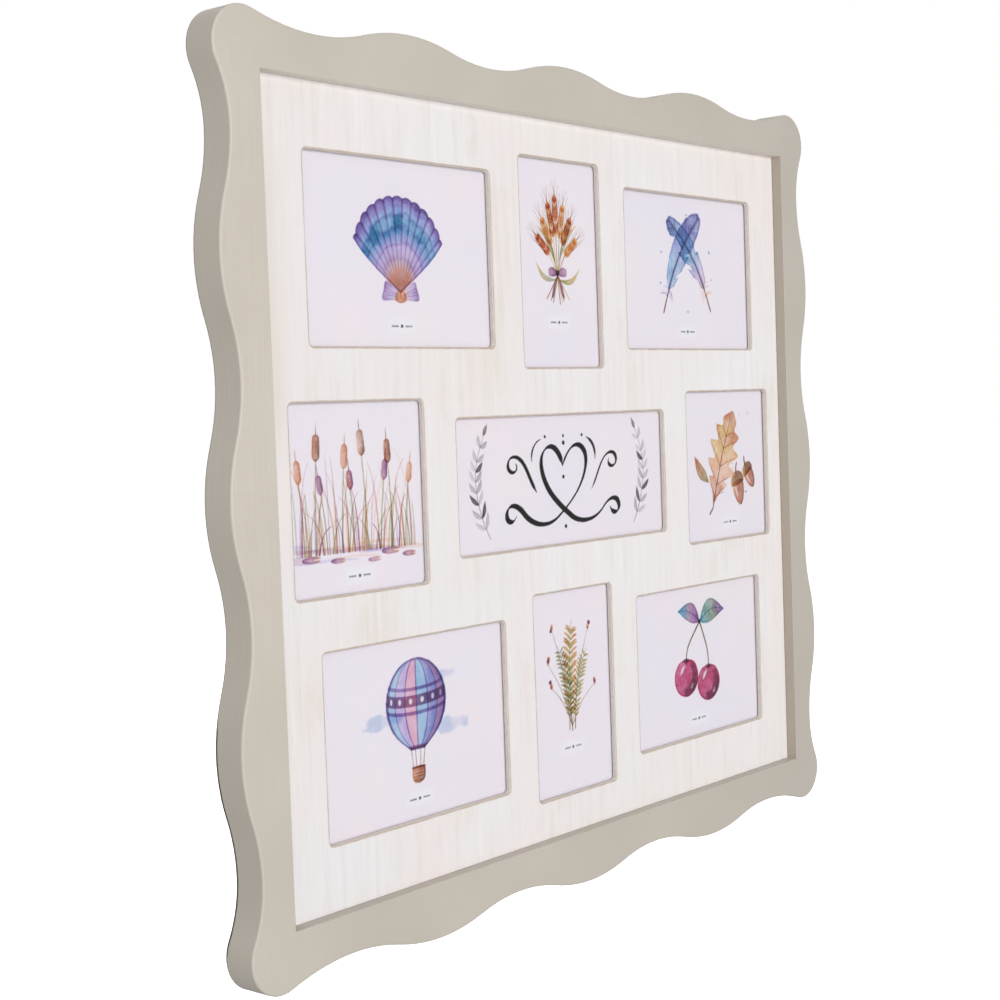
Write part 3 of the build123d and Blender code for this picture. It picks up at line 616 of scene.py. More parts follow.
# ---------------------------------------------------------------- pictures
def shell(s, cx, cy, k=1.0):
    """A scallop shell, seen from outside."""
    hx, hy = cx, cy - 29 * k
    w, x, y = s.near(np.array([[cx - 42 * k, cy - 38 * k], [cx + 42 * k, cy + 38 * k]]), 2)
    X, Y = (x - hx) / k, (y - hy) / k
    wav = (fbm(x, y, 8, s.seed + 2, 3) - 0.5)
    th, r = np.arctan2(X, Y), np.hypot(X, Y)
    wide, ribs = math.radians(56), 13
    q = th / wide
    phase = (q * 0.5 + 0.5) * ribs
    lobe = np.abs(np.sin(math.pi * phase))
    edge_r = 60 * (1 - 0.17 * np.clip(np.abs(q), 0, 1.3) ** 2.2) + 1.7 * lobe ** 0.6
    sd = np.maximum(r - edge_r, (np.abs(th) - wide * (1 - 0.12 * (r / 60) ** 3)) * r)
    cover = 1 - step(-0.5, 0.5, sd + wav * 0.8)
    rho = r / edge_r + wav * 0.10
    cloud = fbm(x, y, 9, s.seed + 3, 4)
    fine = fbm(x, y, 1.2, s.seed + 4, 2)
    tone = (0.55 + 0.9 * cloud) * (0.85 + 0.3 * fine)
    seam = np.exp(-((np.abs(phase - np.round(phase))) * r * 2 * wide / ribs / (0.35 + 0.012 * r)) ** 2)
    ring = sum(a * np.exp(-((rho - p) / 0.018) ** 2) for p, a in ((0.36, 0.5), (0.52, 0.8), (0.68, 0.7), (0.80, 1.0), (0.90, 0.8)))
    rib_shade = 0.5 + 0.5 * np.cos(2 * math.pi * (phase - 0.62))
    s.lay(w, cover * tone * hump(rho, -1, 0.34, 0.14) * 0.95, PEACH)
    s.lay(w, cover * tone * hump(rho, 0.05, 0.22, 0.10) * 0.55, RUST)
    s.lay(w, cover * tone * hump(rho, 0.30, 0.62, 0.10) * 0.85, LAVENDER)
    s.lay(w, cover * tone * hump(rho, 0.56, 0.86, 0.07) * 0.95, SKY)
    s.lay(w, cover * tone * hump(rho, 0.64, 0.80, 0.05) * (0.35 + 0.9 * step(0.45, 0.7, cloud)), TEAL)
    s.lay(w, cover * tone * hump(rho, 0.84, 1.2, 0.06) * 0.75, PERI)
    s.lay(w, cover * tone * hump(rho, 0.93, 1.2, 0.03) * 0.8, PURPLE)
    s.lay(w, cover * rib_shade * (0.25 + 0.3 * rho) * 0.55, PERI)
    s.lay(w, cover * seam * (0.35 + 0.55 * rho) * (0.6 + 0.6 * cloud), PURPLE)
    s.lay(w, cover * ring * 0.34 * (0.5 + cloud), PURPLE)
    s.lay(w, cover * np.exp(-((sd + 0.5) / 0.8) ** 2) * 0.7, PURPLE)
    # the two ears and the knob at the hinge
    for sg in (-1, 1):
        ear = [(0, -3.5), (sg * 8, -4.6), (sg * 17, -4.2), (sg * 15.6, 2.5), (sg * 13.6, 7.6), (sg * 7, 4.2), (0, 1)]
        ear = spline(np.array(ear) * k + (hx, hy), 5)
        s.shape(ear, [PEACH, LAVENDER, PURPLE], ((hx, hy), (hx + sg * 17 * k, hy)), density=0.8)
        for t in (0.25, 0.5, 0.75):
            s.stroke([(hx + sg * 3 * k, hy + (-3 + 3 * t) * k), (hx + sg * 14.5 * k, hy + (-3.4 + 9 * t) * k)], 0.22, 0.15, PURPLE, 0.55)
    s.shape(spline(np.array([(-5, -4.5), (0, -6.2), (5, -4.5), (4, 0.5), (0, 2.2), (-4, 0.5)]) * k + (hx, hy), 5), [RUST, PEACH], ((hx, hy - 6), (hx, hy + 2)), density=0.8)


def feather(s, base, tip, bend, width, inks, seed, down=True):
    """A feather: quill, split vane of fine barbs, down at its foot."""
    base, tip = np.asarray(base, float), np.asarray(tip, float)
    e = tip - base
    L = np.hypot(*e)
    side = np.array([-e[1], e[0]]) / L
    ts = np.linspace(0, 1, 48)
    mid = base + e * ts[:, None] + side * (bend * np.sin(math.pi * ts))[:, None]
    w, x, y = s.near(mid, width + 2)
    best, at, lat = np.full(x.shape, 1e9), np.zeros(x.shape), np.zeros(x.shape)
    for k in range(47):
        a, b = mid[k], mid[k + 1]
        d = b - a
        t = np.clip(((x - a[0]) * d[0] + (y - a[1]) * d[1]) / (d @ d), 0, 1)
        gx, gy = x - a[0] - d[0] * t, y - a[1] - d[1] * t
        g = np.hypot(gx, gy)
        m = g < best
        best = np.where(m, g, best)
        at = np.where(m, (k + t) / 47, at)
        lat = np.where(m, (d[0] * gy - d[1] * gx) / np.hypot(*d), lat)
    al = np.abs(lat)
    barb = at * L - al * 1.25                   # where this barb leaves the quill
    sgn = np.where(lat > 0, 1.0, 0.0)
    tb = np.clip((barb / L - 0.20) / 0.78, 0, 1)
    half = width * (0.46 + 0.10 * sgn) * np.sin(math.pi * np.clip(tb * 0.93 + 0.07, 0, 1)) ** 0.55 * (1 - 0.35 * tb)
    cut = vnoise(barb * 0.16 + 40 * sgn, barb * 0 + 2, seed)
    notch = step(0.74, 0.86, cut)
    half = half * (1 - 0.45 * notch) * (0.94 + 0.12 * vnoise(barb * 1.4 + 9 * sgn, barb * 0, seed + 1))
    sd = al - half
    in_vane = (barb > 0.19 * L) & (barb < 0.995 * L) & (at < 0.997) & (best < width)
    cover = (1 - step(-0.45, 0.45, sd)) * in_vane
    strand = vnoise(barb * 1.5 + 11 * sgn, al * 0.10, seed + 3)
    cloud = fbm(x, y, 8, seed + 5, 4)
    tone = (0.45 + 1.0 * cloud) * (0.62 + 0.76 * strand)
    t = np.clip(at + (cloud - 0.5) * 0.35, 0, 1) * (len(inks) - 1)
    lite = np.where(lat > 0, 1.0, 0.72)
    for k, ink in enumerate(inks):
        s.lay(w, cover * tone * lite * np.clip(1 - np.abs(t - k), 0, 1) * 0.95, ink)
    s.lay(w, cover * np.exp(-((sd + 0.35) / 0.7) ** 2) * 0.45, inks[-1])
    s.lay(w, cover * np.exp(-(al / 1.2) ** 2) * 0.4, inks[-1])
    line = mid[: int(47 * 0.97)]
    s.stroke(line, 0.75, 0.18, BROWN, 0.75)
    s.stroke(line[:14], 0.35, 0.3, INK, 0.35)
    if down:
        for k in range(14):
            t0 = 0.13 + 0.11 * hash2(np.array(k), np.array(1), seed)
            p = base + e * t0 + side * bend * math.sin(math.pi * t0)
            sg = 1 if k % 2 else -1
            a = 0.35 + 0.9 * hash2(np.array(k), np.array(2), seed)
            u = e / L
            q = p + side * sg * (4 + 4 * a) + u * (1.5 - 5 * a)
            s.stroke(spline([p, (p + q) / 2 + u * 1.4, q], 5, False), 0.26, 0.1, inks[0], 0.8)


def feathers(s, cx, cy):
    feather(s, (cx - 30, cy - 33), (cx + 20, cy + 38), 6.0, 25, [LAVENDER, SKY, PERI, INDIGO], 411)
    feather(s, (cx + 31, cy - 31), (cx - 23, cy + 35), -7.0, 23, [PEACH, LAVENDER, TEAL, INDIGO], 523)
    for x0, y0, r in ((cx - 31, cy + 10, 0.9), (cx + 31, cy + 12, 1.1), (cx + 33, cy - 8, 0.7), (cx - 33, cy - 12, 0.8), (cx + 2, cy + 38, 0.8), (cx + 1, cy - 32, 0.9)):
        s.dot(x0, y0, r, PERI, 0.8)


def balloon(s, cx, cy):
    """A hot-air balloon among thin clouds."""
    for x0, y0, a, b, seed in ((cx - 31, cy + 4, 17, 5, 1), (cx + 31, cy - 7, 18, 5.5, 2), (cx + 27, cy + 25, 11, 3.4, 3)):
        w, x, y = s.near(np.array([[x0 - a * 1.6, y0 - b * 2], [x0 + a * 1.6, y0 + b * 2]]), 1)
        puff = fbm(x, y, 9, 60 + seed, 4)
        d = ((x - x0) / a) ** 2 + ((y - y0) / b) ** 2
        m = np.clip(1.1 - d + (puff - 0.5) * 1.9, 0, 1)
        s.lay(w, step(0.05, 0.6, m) * (0.25 + 0.5 * step(0.4, 0.7, puff)) * 0.5, SKY)
        s.lay(w, step(0.2, 0.8, m) * 0.18, LAVENDER)
    top, mouth, R = 38.0, -17.0, 26.5
    cyb = cy + top - R
    w, x, y = s.near(np.array([[cx - 29, cy + mouth - 2], [cx + 29, cy + top + 2]]), 1)
    Y = y - cyb
    low = np.clip((Y + R * 0.35) / (cy + mouth - cyb + R * 0.35), 0, 1)
    half = np.where(Y > -R * 0.35, np.sqrt(np.clip(R * R - np.clip(Y, -R, R) ** 2, 0, None)),
                    math.sqrt(R * R - (R * 0.35) ** 2) * (1 - low) ** 1.0 + 6.0 * low + 3.2 * np.sin(math.pi * low))
    sd = np.where(Y > -R * 0.35, np.hypot(x - cx, Y) - R, np.maximum(np.abs(x - cx) - half, cy + mouth - y))
    cover = 1 - step(-0.45, 0.45, sd + (fbm(x, y, 3, 71, 2) - 0.5) * 0.5)
    g = np.clip((x - cx) / np.maximum(half, 0.5), -1, 1)
    phi = np.arcsin(g)
    gore = (phi / math.pi + 0.5) * 8
    n = np.clip(np.floor(gore), 0, 7)
    cloud, fine = fbm(x, y, 8, 73, 4), fbm(x, y, 1.2, 74, 2)
    tone = (0.5 + 0.95 * cloud) * (0.85 + 0.3 * fine)
    for k, ink in enumerate((INDIGO, SKY, LAVENDER, PINK, SKY, PERI, PINK, INDIGO)):
        s.lay(w, cover * tone * (n == k) * (0.62 if k in (0, 7) else 0.9), ink)
    seam = np.abs(gore - np.round(gore)) * half * 0.36
    s.lay(w, cover * np.exp(-(seam / 0.45) ** 2) * 0.75 * (0.5 + cloud), PURPLE)
    # two bands that sag with the curve of the skin
    sag = 4.2 * np.cos(phi)
    for y0, h, ink in ((3.0, 3.4, PLUM), (-4.4, 1.1, PURPLE), (10.2, 1.0, PURPLE)):
        band = np.abs(Y + sag - y0 - 2.0) - h
        s.lay(w, cover * (1 - step(-0.35, 0.35, band)) * (0.45 + 0.6 * cloud), ink)
    dots = np.hypot((gore - np.floor(gore) - 0.5) * half * 0.36, (Y + sag - 5.0) * 0.8) - 1.35
    lit = (1 - step(-0.3, 0.3, dots)) * cover
    s.c[w] = s.c[w] * (1 - 0.75 * lit[..., None]) + s.paper[w] * 0.75 * lit[..., None]
    s.lay(w, cover * step(0.1, 1.0, g) ** 2 * 0.55, INDIGO)
    s.lay(w, cover * np.exp(-((sd + 0.5) / 0.9) ** 2) * 0.6, PURPLE)
    s.lay(w, cover * step(0.84, 0.93, low) * 0.8, PLUM)
    for px in (-6.0, -2.4, 2.4, 6.0):
        s.stroke([(cx + px, cy + mouth), (cx + px * 0.72, cy - 28)], 0.22, 0.22, BROWN, 1.0)
    s.shape(spline([(cx - 5.2, cy - 28), (cx + 5.2, cy - 28), (cx + 4.2, cy - 36.5), (cx - 4.2, cy - 36.5)], 4), [PEACH, RUST, BROWN], ((cx - 6, cy - 28), (cx + 6, cy - 36)), density=1.0)
    for k in range(4):
        s.stroke([(cx - 4.8, cy - 29.6 - k * 2), (cx + 4.8, cy - 29.6 - k * 2)], 0.2, 0.2, BROWN, 0.7)
    s.stroke([(cx - 5.4, cy - 28), (cx + 5.4, cy - 28)], 0.7, 0.7, BROWN, 1.0)


def cherries(s, cx, cy):
    """Two cherries on their stalks, with a leaf."""
    knot = (cx + 4, cy + 27)
    for (x0, y0), (bx, by) in (((cx - 15, cy - 12), (cx - 12, cy + 10)), ((cx + 14, cy - 19), (cx + 13, cy + 6))):
        s.stroke(spline([knot, (bx, by), (x0 + 0.5, y0 + 10)], 8, False), 0.75, 0.5, OLIVE, 1.1)
        s.stroke(spline([knot, (bx, by), (x0 + 0.5, y0 + 10)], 8, False), 0.3, 0.2, PLUM, 0.5)
    for i, (x0, y0, R) in enumerate(((cx - 15, cy - 12, 14.5), (cx + 14, cy - 19, 14.0))):
        t = np.radians(np.arange(0, 360, 12))
        r = R * (1 - 0.10 * np.exp(-((np.degrees(t) - 90) / 22) ** 2) + 0.03 * np.cos(2 * t))
        out = np.stack([x0 + r * np.cos(t) * 1.03, y0 + r * np.sin(t)], 1)
        s.shape(out, [PINK, RASP, RASP, PLUM], ((x0 - R, y0 + R), (x0 + R * 0.8, y0 - R)), density=1.0, mottle=0.45, edge=0.55)
        s.shape(spline(arc(x0, y0, R * 0.93, -95, 35, 8).tolist() + arc(x0 - 2.5, y0 + 2, R * 0.72, 35, -95, 8).tolist(), 3), PLUM, density=0.55, edge=0.1, soft=1.6)
        s.lift(spline([(x0 - 7.5, y0 + 3), (x0 - 5.6, y0 + 7.2), (x0 - 2.2, y0 + 8.6), (x0 - 5.2, y0 + 4.2)], 5), 0.8, 0.9)
        s.lift(spline([(x0 + 5.5, y0 - 8), (x0 + 8.2, y0 - 5.2), (x0 + 7.0, y0 - 8.4)], 5), 0.35, 1.0)
        s.shape(spline([(x0 - 4, y0 + R * 0.86), (x0, y0 + R * 0.72), (x0 + 4.4, y0 + R * 0.86), (x0, y0 + R * 0.95)], 5), PLUM, density=0.6)
    leaf(s, knot, (cx + 37, cy + 33), 17, [TEAL, SAGE, PURPLE], bend=4.5, density=0.95, veins=6, vein_ink=DEEP_TEAL)
    leaf(s, knot, (cx - 24, cy + 37), 14, [PURPLE, MAUVE, TEAL], bend=-3.5, density=0.9, veins=5, vein_ink=PURPLE)
    s.dot(knot[0], knot[1], 1.5, BROWN, 1.1)


def wheat(s, cx, cy):
    """Ears of wheat tied with a ribbon."""
    tie = np.array((cx, cy - 15.0))
    for k, (dx, dy) in enumerate(((-14, 33), (-8, 43), (-1, 48), (7, 42), (14, 34), (-19, 22), (19, 21))):
        top = tie + (dx, dy)
        low = tie + (-dx * 0.55 + 1.5 * (k % 3 - 1), -20 + abs(dx) * 0.18)
        line = spline([low, tie + (dx * 0.04, 0), tie + (dx * 0.42, dy * 0.55), top], 10, False)
        s.stroke(line, 0.42, 0.26, (OLIVE, GOLD, RUST, OLIVE)[k % 4], 0.95)
        n = len(line)
        ink = ([PEACH, GOLD], [GOLD, RUST], [PEACH, RUST])[k % 3]
        for j in range(8):
            q = line[int(n * (0.66 + 0.042 * j))]
            r = line[min(int(n * (0.66 + 0.042 * j)) + 2, n - 1)]
            u = (r - q) / (np.hypot(*(r - q)) + 1e-9)
            v = np.array([-u[1], u[0]])
            long = 6.6 - 0.28 * j
            for o in (-1, 1):
                tip = q + u * long * 0.90 + v * o * long * 0.42
                leaf(s, q, tip, 2.7, ink, bend=0.35 * o, density=0.9, edge=0.6)
                if j % 2 == 0:
                    s.stroke([tip, tip + u * 9.0 + v * o * 2.4], 0.17, 0.07, BROWN, 0.55)
        end = line[-1]
        u = (line[-1] - line[-3]) / np.hypot(*(line[-1] - line[-3]))
        leaf(s, end - u * 1.5, end + u * 5.5, 2.7, ink, density=0.95, edge=0.6)
        for o in (-0.22, 0.0, 0.22):
            v = np.array([-u[1], u[0]])
            s.stroke([end + u * 4.5, end + u * 14.0 + v * o * 12], 0.17, 0.07, BROWN, 0.55)
    for (ax, ay), (bx, by), bend, ink in (((-1, -4), (-23, 8), 5.0, SAGE), ((1, -4), (24, 4), -5.0, OLIVE), ((-2, 6), (-21, 31), -3.5, OLIVE), ((2, 8), (22, 33), 3.0, SAGE)):
        leaf(s, tie + (ax, ay), tie + (bx, by), 3.6, [ink, GOLD], bend=bend, density=0.75, edge=0.5)
    for o in (-1, 1):
        bow = spline([tie, tie + (o * 4.5, 4.0), tie + (o * 9.5, 3.0), tie + (o * 9.0, -1.5), tie + (o * 4.0, -1.8)], 6)
        s.shape(bow, [PLUM, MAUVE], (tie, tie + (o * 9, 1)), density=0.8)
        tail = spline([tie + (o * 0.6, -0.8), tie + (o * 4.6, -7.5), tie + (o * 6.8, -15.5), tie + (o * 4.4, -14.6), tie + (o * 2.2, -7.5)], 5)
        s.shape(tail, [MAUVE, PLUM], (tie, tie + (o * 5, -15)), density=0.75)
    s.dot(tie[0], tie[1] + 0.4, 2.0, PLUM, 0.95)


def ferns(s, cx, cy):
    """Fern fronds, with a few berries on wires."""
    def frond(base, tip, bend, long, inks, rows, density=0.9):
        base, tip = np.asarray(base, float), np.asarray(tip, float)
        e = tip - base
        L = np.hypot(*e)
        side = np.array([-e[1], e[0]]) / L
        ts = np.linspace(0, 1, 40)
        mid = base + e * ts[:, None] + side * (bend * np.sin(math.pi * ts * 0.9))[:, None]
        s.stroke(mid, 0.55, 0.15, inks[0], 1.0)
        for k in range(rows):
            t = 0.16 + 0.80 * k / rows
            i = int(t * 39)
            u = mid[min(i + 1, 39)] - mid[max(i - 1, 0)]
            u = u / np.hypot(*u)
            v = np.array([-u[1], u[0]])
            ln = long * math.sin(math.pi * (0.18 + 0.80 * (1 - t) ** 0.75)) ** 0.9 * (1.05 - 0.55 * t) + 0.8
            for o in (-1, 1):
                q = mid[i] + u * (0.4 if o > 0 else -0.4)
                end = q + v * o * ln * 0.86 + u * ln * 0.55
                leaf(s, q, end, 0.9 + 0.13 * ln, inks, bend=-0.08 * ln * o, density=density * (0.8 + 0.4 * float(hash2(np.array(k), np.array(o + 3), 9))), edge=0.5, mottle=0.35)

    frond((cx - 3, cy - 35), (cx - 15, cy + 22), -5.0, 10.5, [SAGE, OLIVE], 15, 0.75)
    frond((cx + 3, cy - 35), (cx + 19, cy + 17), 4.5, 10.0, [OLIVE, GOLD], 14, 0.8)
    frond((cx, cy - 36), (cx + 3, cy + 38), 3.0, 13.0, [OLIVE, GOLD, RUST], 19, 0.9)
    for x0, y0, k in ((cx - 22, cy - 4, 0), (cx + 25, cy - 8, 1), (cx - 19, cy + 33, 2), (cx + 20, cy + 31, 3), (cx - 25, cy + 12, 4)):
        s.stroke(spline([(cx, cy - 33), (cx + (x0 - cx) * 0.45, cy - 30 + (y0 - cy + 30) * 0.55), (x0, y0)], 8, False), 0.26, 0.18, BROWN, 0.7)
        for j in range(3):
            h = hash2(np.array([j, j]), np.array([k, k + 9]), 41)
            s.dot(x0 + 3.2 * (h[0] - 0.5), y0 + 1.6 * j, 1.0 + 0.5 * h[1], (RUST, PEACH, PLUM)[(j + k) % 3], 0.9)


def reeds(s, cx, cy):
    """Cattails and grasses at the edge of a pond."""
    for k in range(15):
        h = hash2(np.array([k, k, k, k]), np.array([1, 2, 3, 4]), 57)
        x0, y0 = cx - 52 + 104 * h[0], cy - 39 + 11 * h[1]
        long = 9 + 16 * h[2]
        s.stroke(spline([(x0 - long, y0), (x0, y0 + 0.7), (x0 + long, y0 - 0.2)], 6, False), 0.3, 0.2, (MAUVE, LAVENDER, PEACH)[k % 3], 0.42, mid=0.6 + 0.9 * h[3], soft=0.5)

    def blade(x0, h, lean, ink, r, d):
        s.stroke(spline([(x0, cy - 34), (x0 + lean * 0.18, cy - 34 + h * 0.45), (x0 + lean * 0.55, cy - 34 + h * 0.82), (x0 + lean, cy - 34 + h)], 7, False), r, 0.1, ink, d)

    def tail(x0, h, lean, long, r, inks):
        h, long = h * 0.88, long * 0.9
        line = spline([(x0, cy - 34), (x0 + lean * 0.3, cy - 34 + h * 0.5), (x0 + lean, cy - 34 + h)], 10, False)
        s.stroke(line, 0.5, 0.32, OLIVE, 0.9)
        top = line[-1]
        u = (line[-1] - line[-4]) / np.hypot(*(line[-1] - line[-4]))
        v = np.array([-u[1], u[0]])
        out = spline([top - u * 0.8, top + v * r + u * 1.6, top + v * r * 1.05 + u * long * 0.5, top + v * r * 0.9 + u * (long - 1.5), top + u * long,
                      top - v * r * 0.9 + u * (long - 1.5), top - v * r * 1.05 + u * long * 0.5, top - v * r + u * 1.6], 6)
        s.shape(out, inks, (top + v * r, top - v * r), density=0.95, mottle=0.55)
        s.stroke([top + u * long, top + u * (long + 6.5)], 0.38, 0.12, inks[-1], 0.9)

    for k in range(44):
        h = hash2(np.array([k, k, k]), np.array([1, 2, 3]), 83)
        blade(cx - 50 + 100 * (k + 0.8 * h[0]) / 44, 24 + 38 * h[1] * (0.6 + 0.4 * math.sin(k * 1.9) ** 2), -17 + 34 * h[2], (SAGE, MAUVE, PEACH, OLIVE, RUST)[k % 5], 0.62, 0.62)
    for x0, h, lean, long, r, inks in ((-43, 47, -3, 14, 2.5, [PEACH, RUST]), (-34, 61, 2, 16, 2.8, [RUST, BROWN]), (-25, 39, -4, 12, 2.2, [MAUVE, PLUM]), (-13, 55, 3, 15, 2.6, [PEACH, RUST]),
                                        (-3, 41, -2, 12, 2.3, [RUST, PLUM]), (8, 63, -3, 16, 2.8, [PEACH, BROWN]), (19, 46, 4, 13, 2.4, [MAUVE, PLUM]), (29, 57, -2, 15, 2.6, [RUST, BROWN]), (40, 43, 4, 13, 2.3, [PEACH, RUST])):
        tail(cx + x0, h, lean, long, r, inks)
    for k in range(24):
        h = hash2(np.array([k, k, k]), np.array([4, 5, 6]), 84)
        blade(cx - 48 + 96 * (k + h[0]) / 24, 12 + 26 * h[1], -13 + 26 * h[2], (PLUM, RUST, OLIVE, MAUVE)[k % 4], 0.6, 0.8)
    for x0, y0, a in ((-38, -36.5, 7.5), (-17, -38.5, 6.0), (27, -36.0, 8.0), (43, -39.0, 6.0), (13, -40.0, 5.5)):
        t = np.radians(np.linspace(20, 340, 22))
        out = np.stack([cx + x0 + a * np.cos(t), cy + y0 + a * 0.27 * np.sin(t)], 1)
        s.shape(np.concatenate([out, [(cx + x0 + a * 0.2, cy + y0)]]), [PLUM, MAUVE, RUST], ((cx + x0 - a, cy + y0), (cx + x0 + a, cy + y0)), density=0.8)


def oak(s, cx, cy):
    """An oak leaf with two acorns."""
    base, tip = np.array((cx - 16.0, cy - 30.0)), np.array((cx + 13.0, cy + 38.0))
    e = tip - base
    L = np.hypot(*e)
    u, side = e / L, np.array([-e[1], e[0]]) / L
    rows = ((0.04, 2.0), (0.12, 5.0), (0.20, 12.5), (0.27, 8.0), (0.36, 18.5), (0.45, 10.0), (0.55, 20.5), (0.64, 10.5), (0.73, 16.5), (0.81, 8.5), (0.90, 9.0), (0.97, 3.5))
    left = [base + u * L * (t + (0.03 if h > 11 else -0.01)) + side * h for t, h in rows]
    right = [base + u * L * (t + (0.05 if h > 11 else 0.01)) - side * h * 0.95 for t, h in rows]
    s.shape(spline([base] + left + [tip] + right[::-1], 6), [RUST, PEACH, GOLD, RUST], (base, tip), density=0.9, mottle=0.6)
    mid = np.array([base + u * L * t + side * 1.6 * math.sin(math.pi * t) for t in np.linspace(0, 0.97, 16)])
    s.stroke(mid, 0.62, 0.2, BROWN, 0.95)
    s.stroke(spline([base - u * 9 + side * 2, base - u * 4, base], 5, False), 0.75, 0.6, BROWN, 1.0)
    for t, h in ((0.10, 11), (0.24, 16), (0.42, 18), (0.60, 14), (0.77, 8)):
        p = mid[int(t / 0.97 * 15)]
        for sg in (-1, 1):
            q = p + side * sg * h + u * h * 0.75
            s.stroke(spline([p, p + (q - p) * 0.5 + u * 0.8, q], 5, False), 0.34, 0.1, BROWN, 0.75)
            for f in (0.4, 0.65):
                m = p + (q - p) * f
                s.stroke([m, m + u * h * 0.26 - side * sg * h * 0.02], 0.18, 0.08, RUST, 0.7)

    def acorn(x0, y0, k, ang):
        T = lambda pts: turn(np.array(pts, float), ang, (0, 0), (x0, y0), k)
        nut = spline(T([(-6, 1), (-6.2, -5), (-4, -11), (0, -14.5), (4, -11), (6.2, -5), (6, 1), (0, 2.4)]), 6)
        a, b = T([(-6, 0), (6, -10)])
        s.shape(nut, [PEACH, RUST, BROWN], (a, b), density=1.0, mottle=0.4)
        s.lift(spline(T([(-3.6, -2), (-2.2, -1.6), (-2.0, -8), (-3.2, -7)]), 5), 0.55, 0.7)
        cap = spline(T([(-7.6, 0.4), (-6.6, 5.2), (-2.8, 8.0), (2.8, 8.0), (6.6, 5.2), (7.6, 0.4), (3.6, -0.6), (0, -0.9), (-3.6, -0.6)]), 5)
        s.shape(cap, [GOLD, BROWN], tuple(T([(-7, 6), (7, 0)])), density=0.95)
        for q in np.linspace(-6, 6, 7):
            s.stroke(T([(q, 0), (q * 0.82 + 1.2, 3.2), (q * 0.5 + 2.2, 6.6)]), 0.2, 0.16, BROWN, 0.8)
            s.stroke(T([(q, 0), (q * 0.82 - 1.2, 3.2), (q * 0.5 - 2.2, 6.6)]), 0.2, 0.16, BROWN, 0.8)
        s.stroke(spline(T([(0, 7.6), (0.6, 10.5), (2.4, 13.5)]), 5, False), 0.9, 0.6, BROWN, 1.1)

    acorn(cx + 18, cy - 17, 1.15, 14)
    acorn(cx + 33, cy - 9, 0.95, 34)
    leaf(s, (cx - 22, cy - 14), (cx - 40, cy + 6), 9, [OLIVE, RUST], bend=2, density=0.8, veins=4)
    for k in range(10):
        h = hash2(np.array([k, k, k]), np.array([1, 2, 3]), 63)
        s.dot(cx - 44 + 88 * h[0], cy - 34 + 70 * h[1], 0.45 + 0.5 * h[2], (PEACH, RUST, MAUVE)[k % 3], 0.7)


def bezier(p, n=18):
    """A smooth run of cubic pieces: start, then two handles and an end for each."""
    p = np.asarray(p, float)
    out = [p[:1]]
    t = np.linspace(0, 1, n + 1)[1:, None]
    for k in range(0, len(p) - 1, 3):
        a, b, c, d = p[k:k + 4]
        out.append(a * (1 - t) ** 3 + 3 * b * t * (1 - t) ** 2 + 3 * c * t * t * (1 - t) + d * t ** 3)
    return np.concatenate(out)


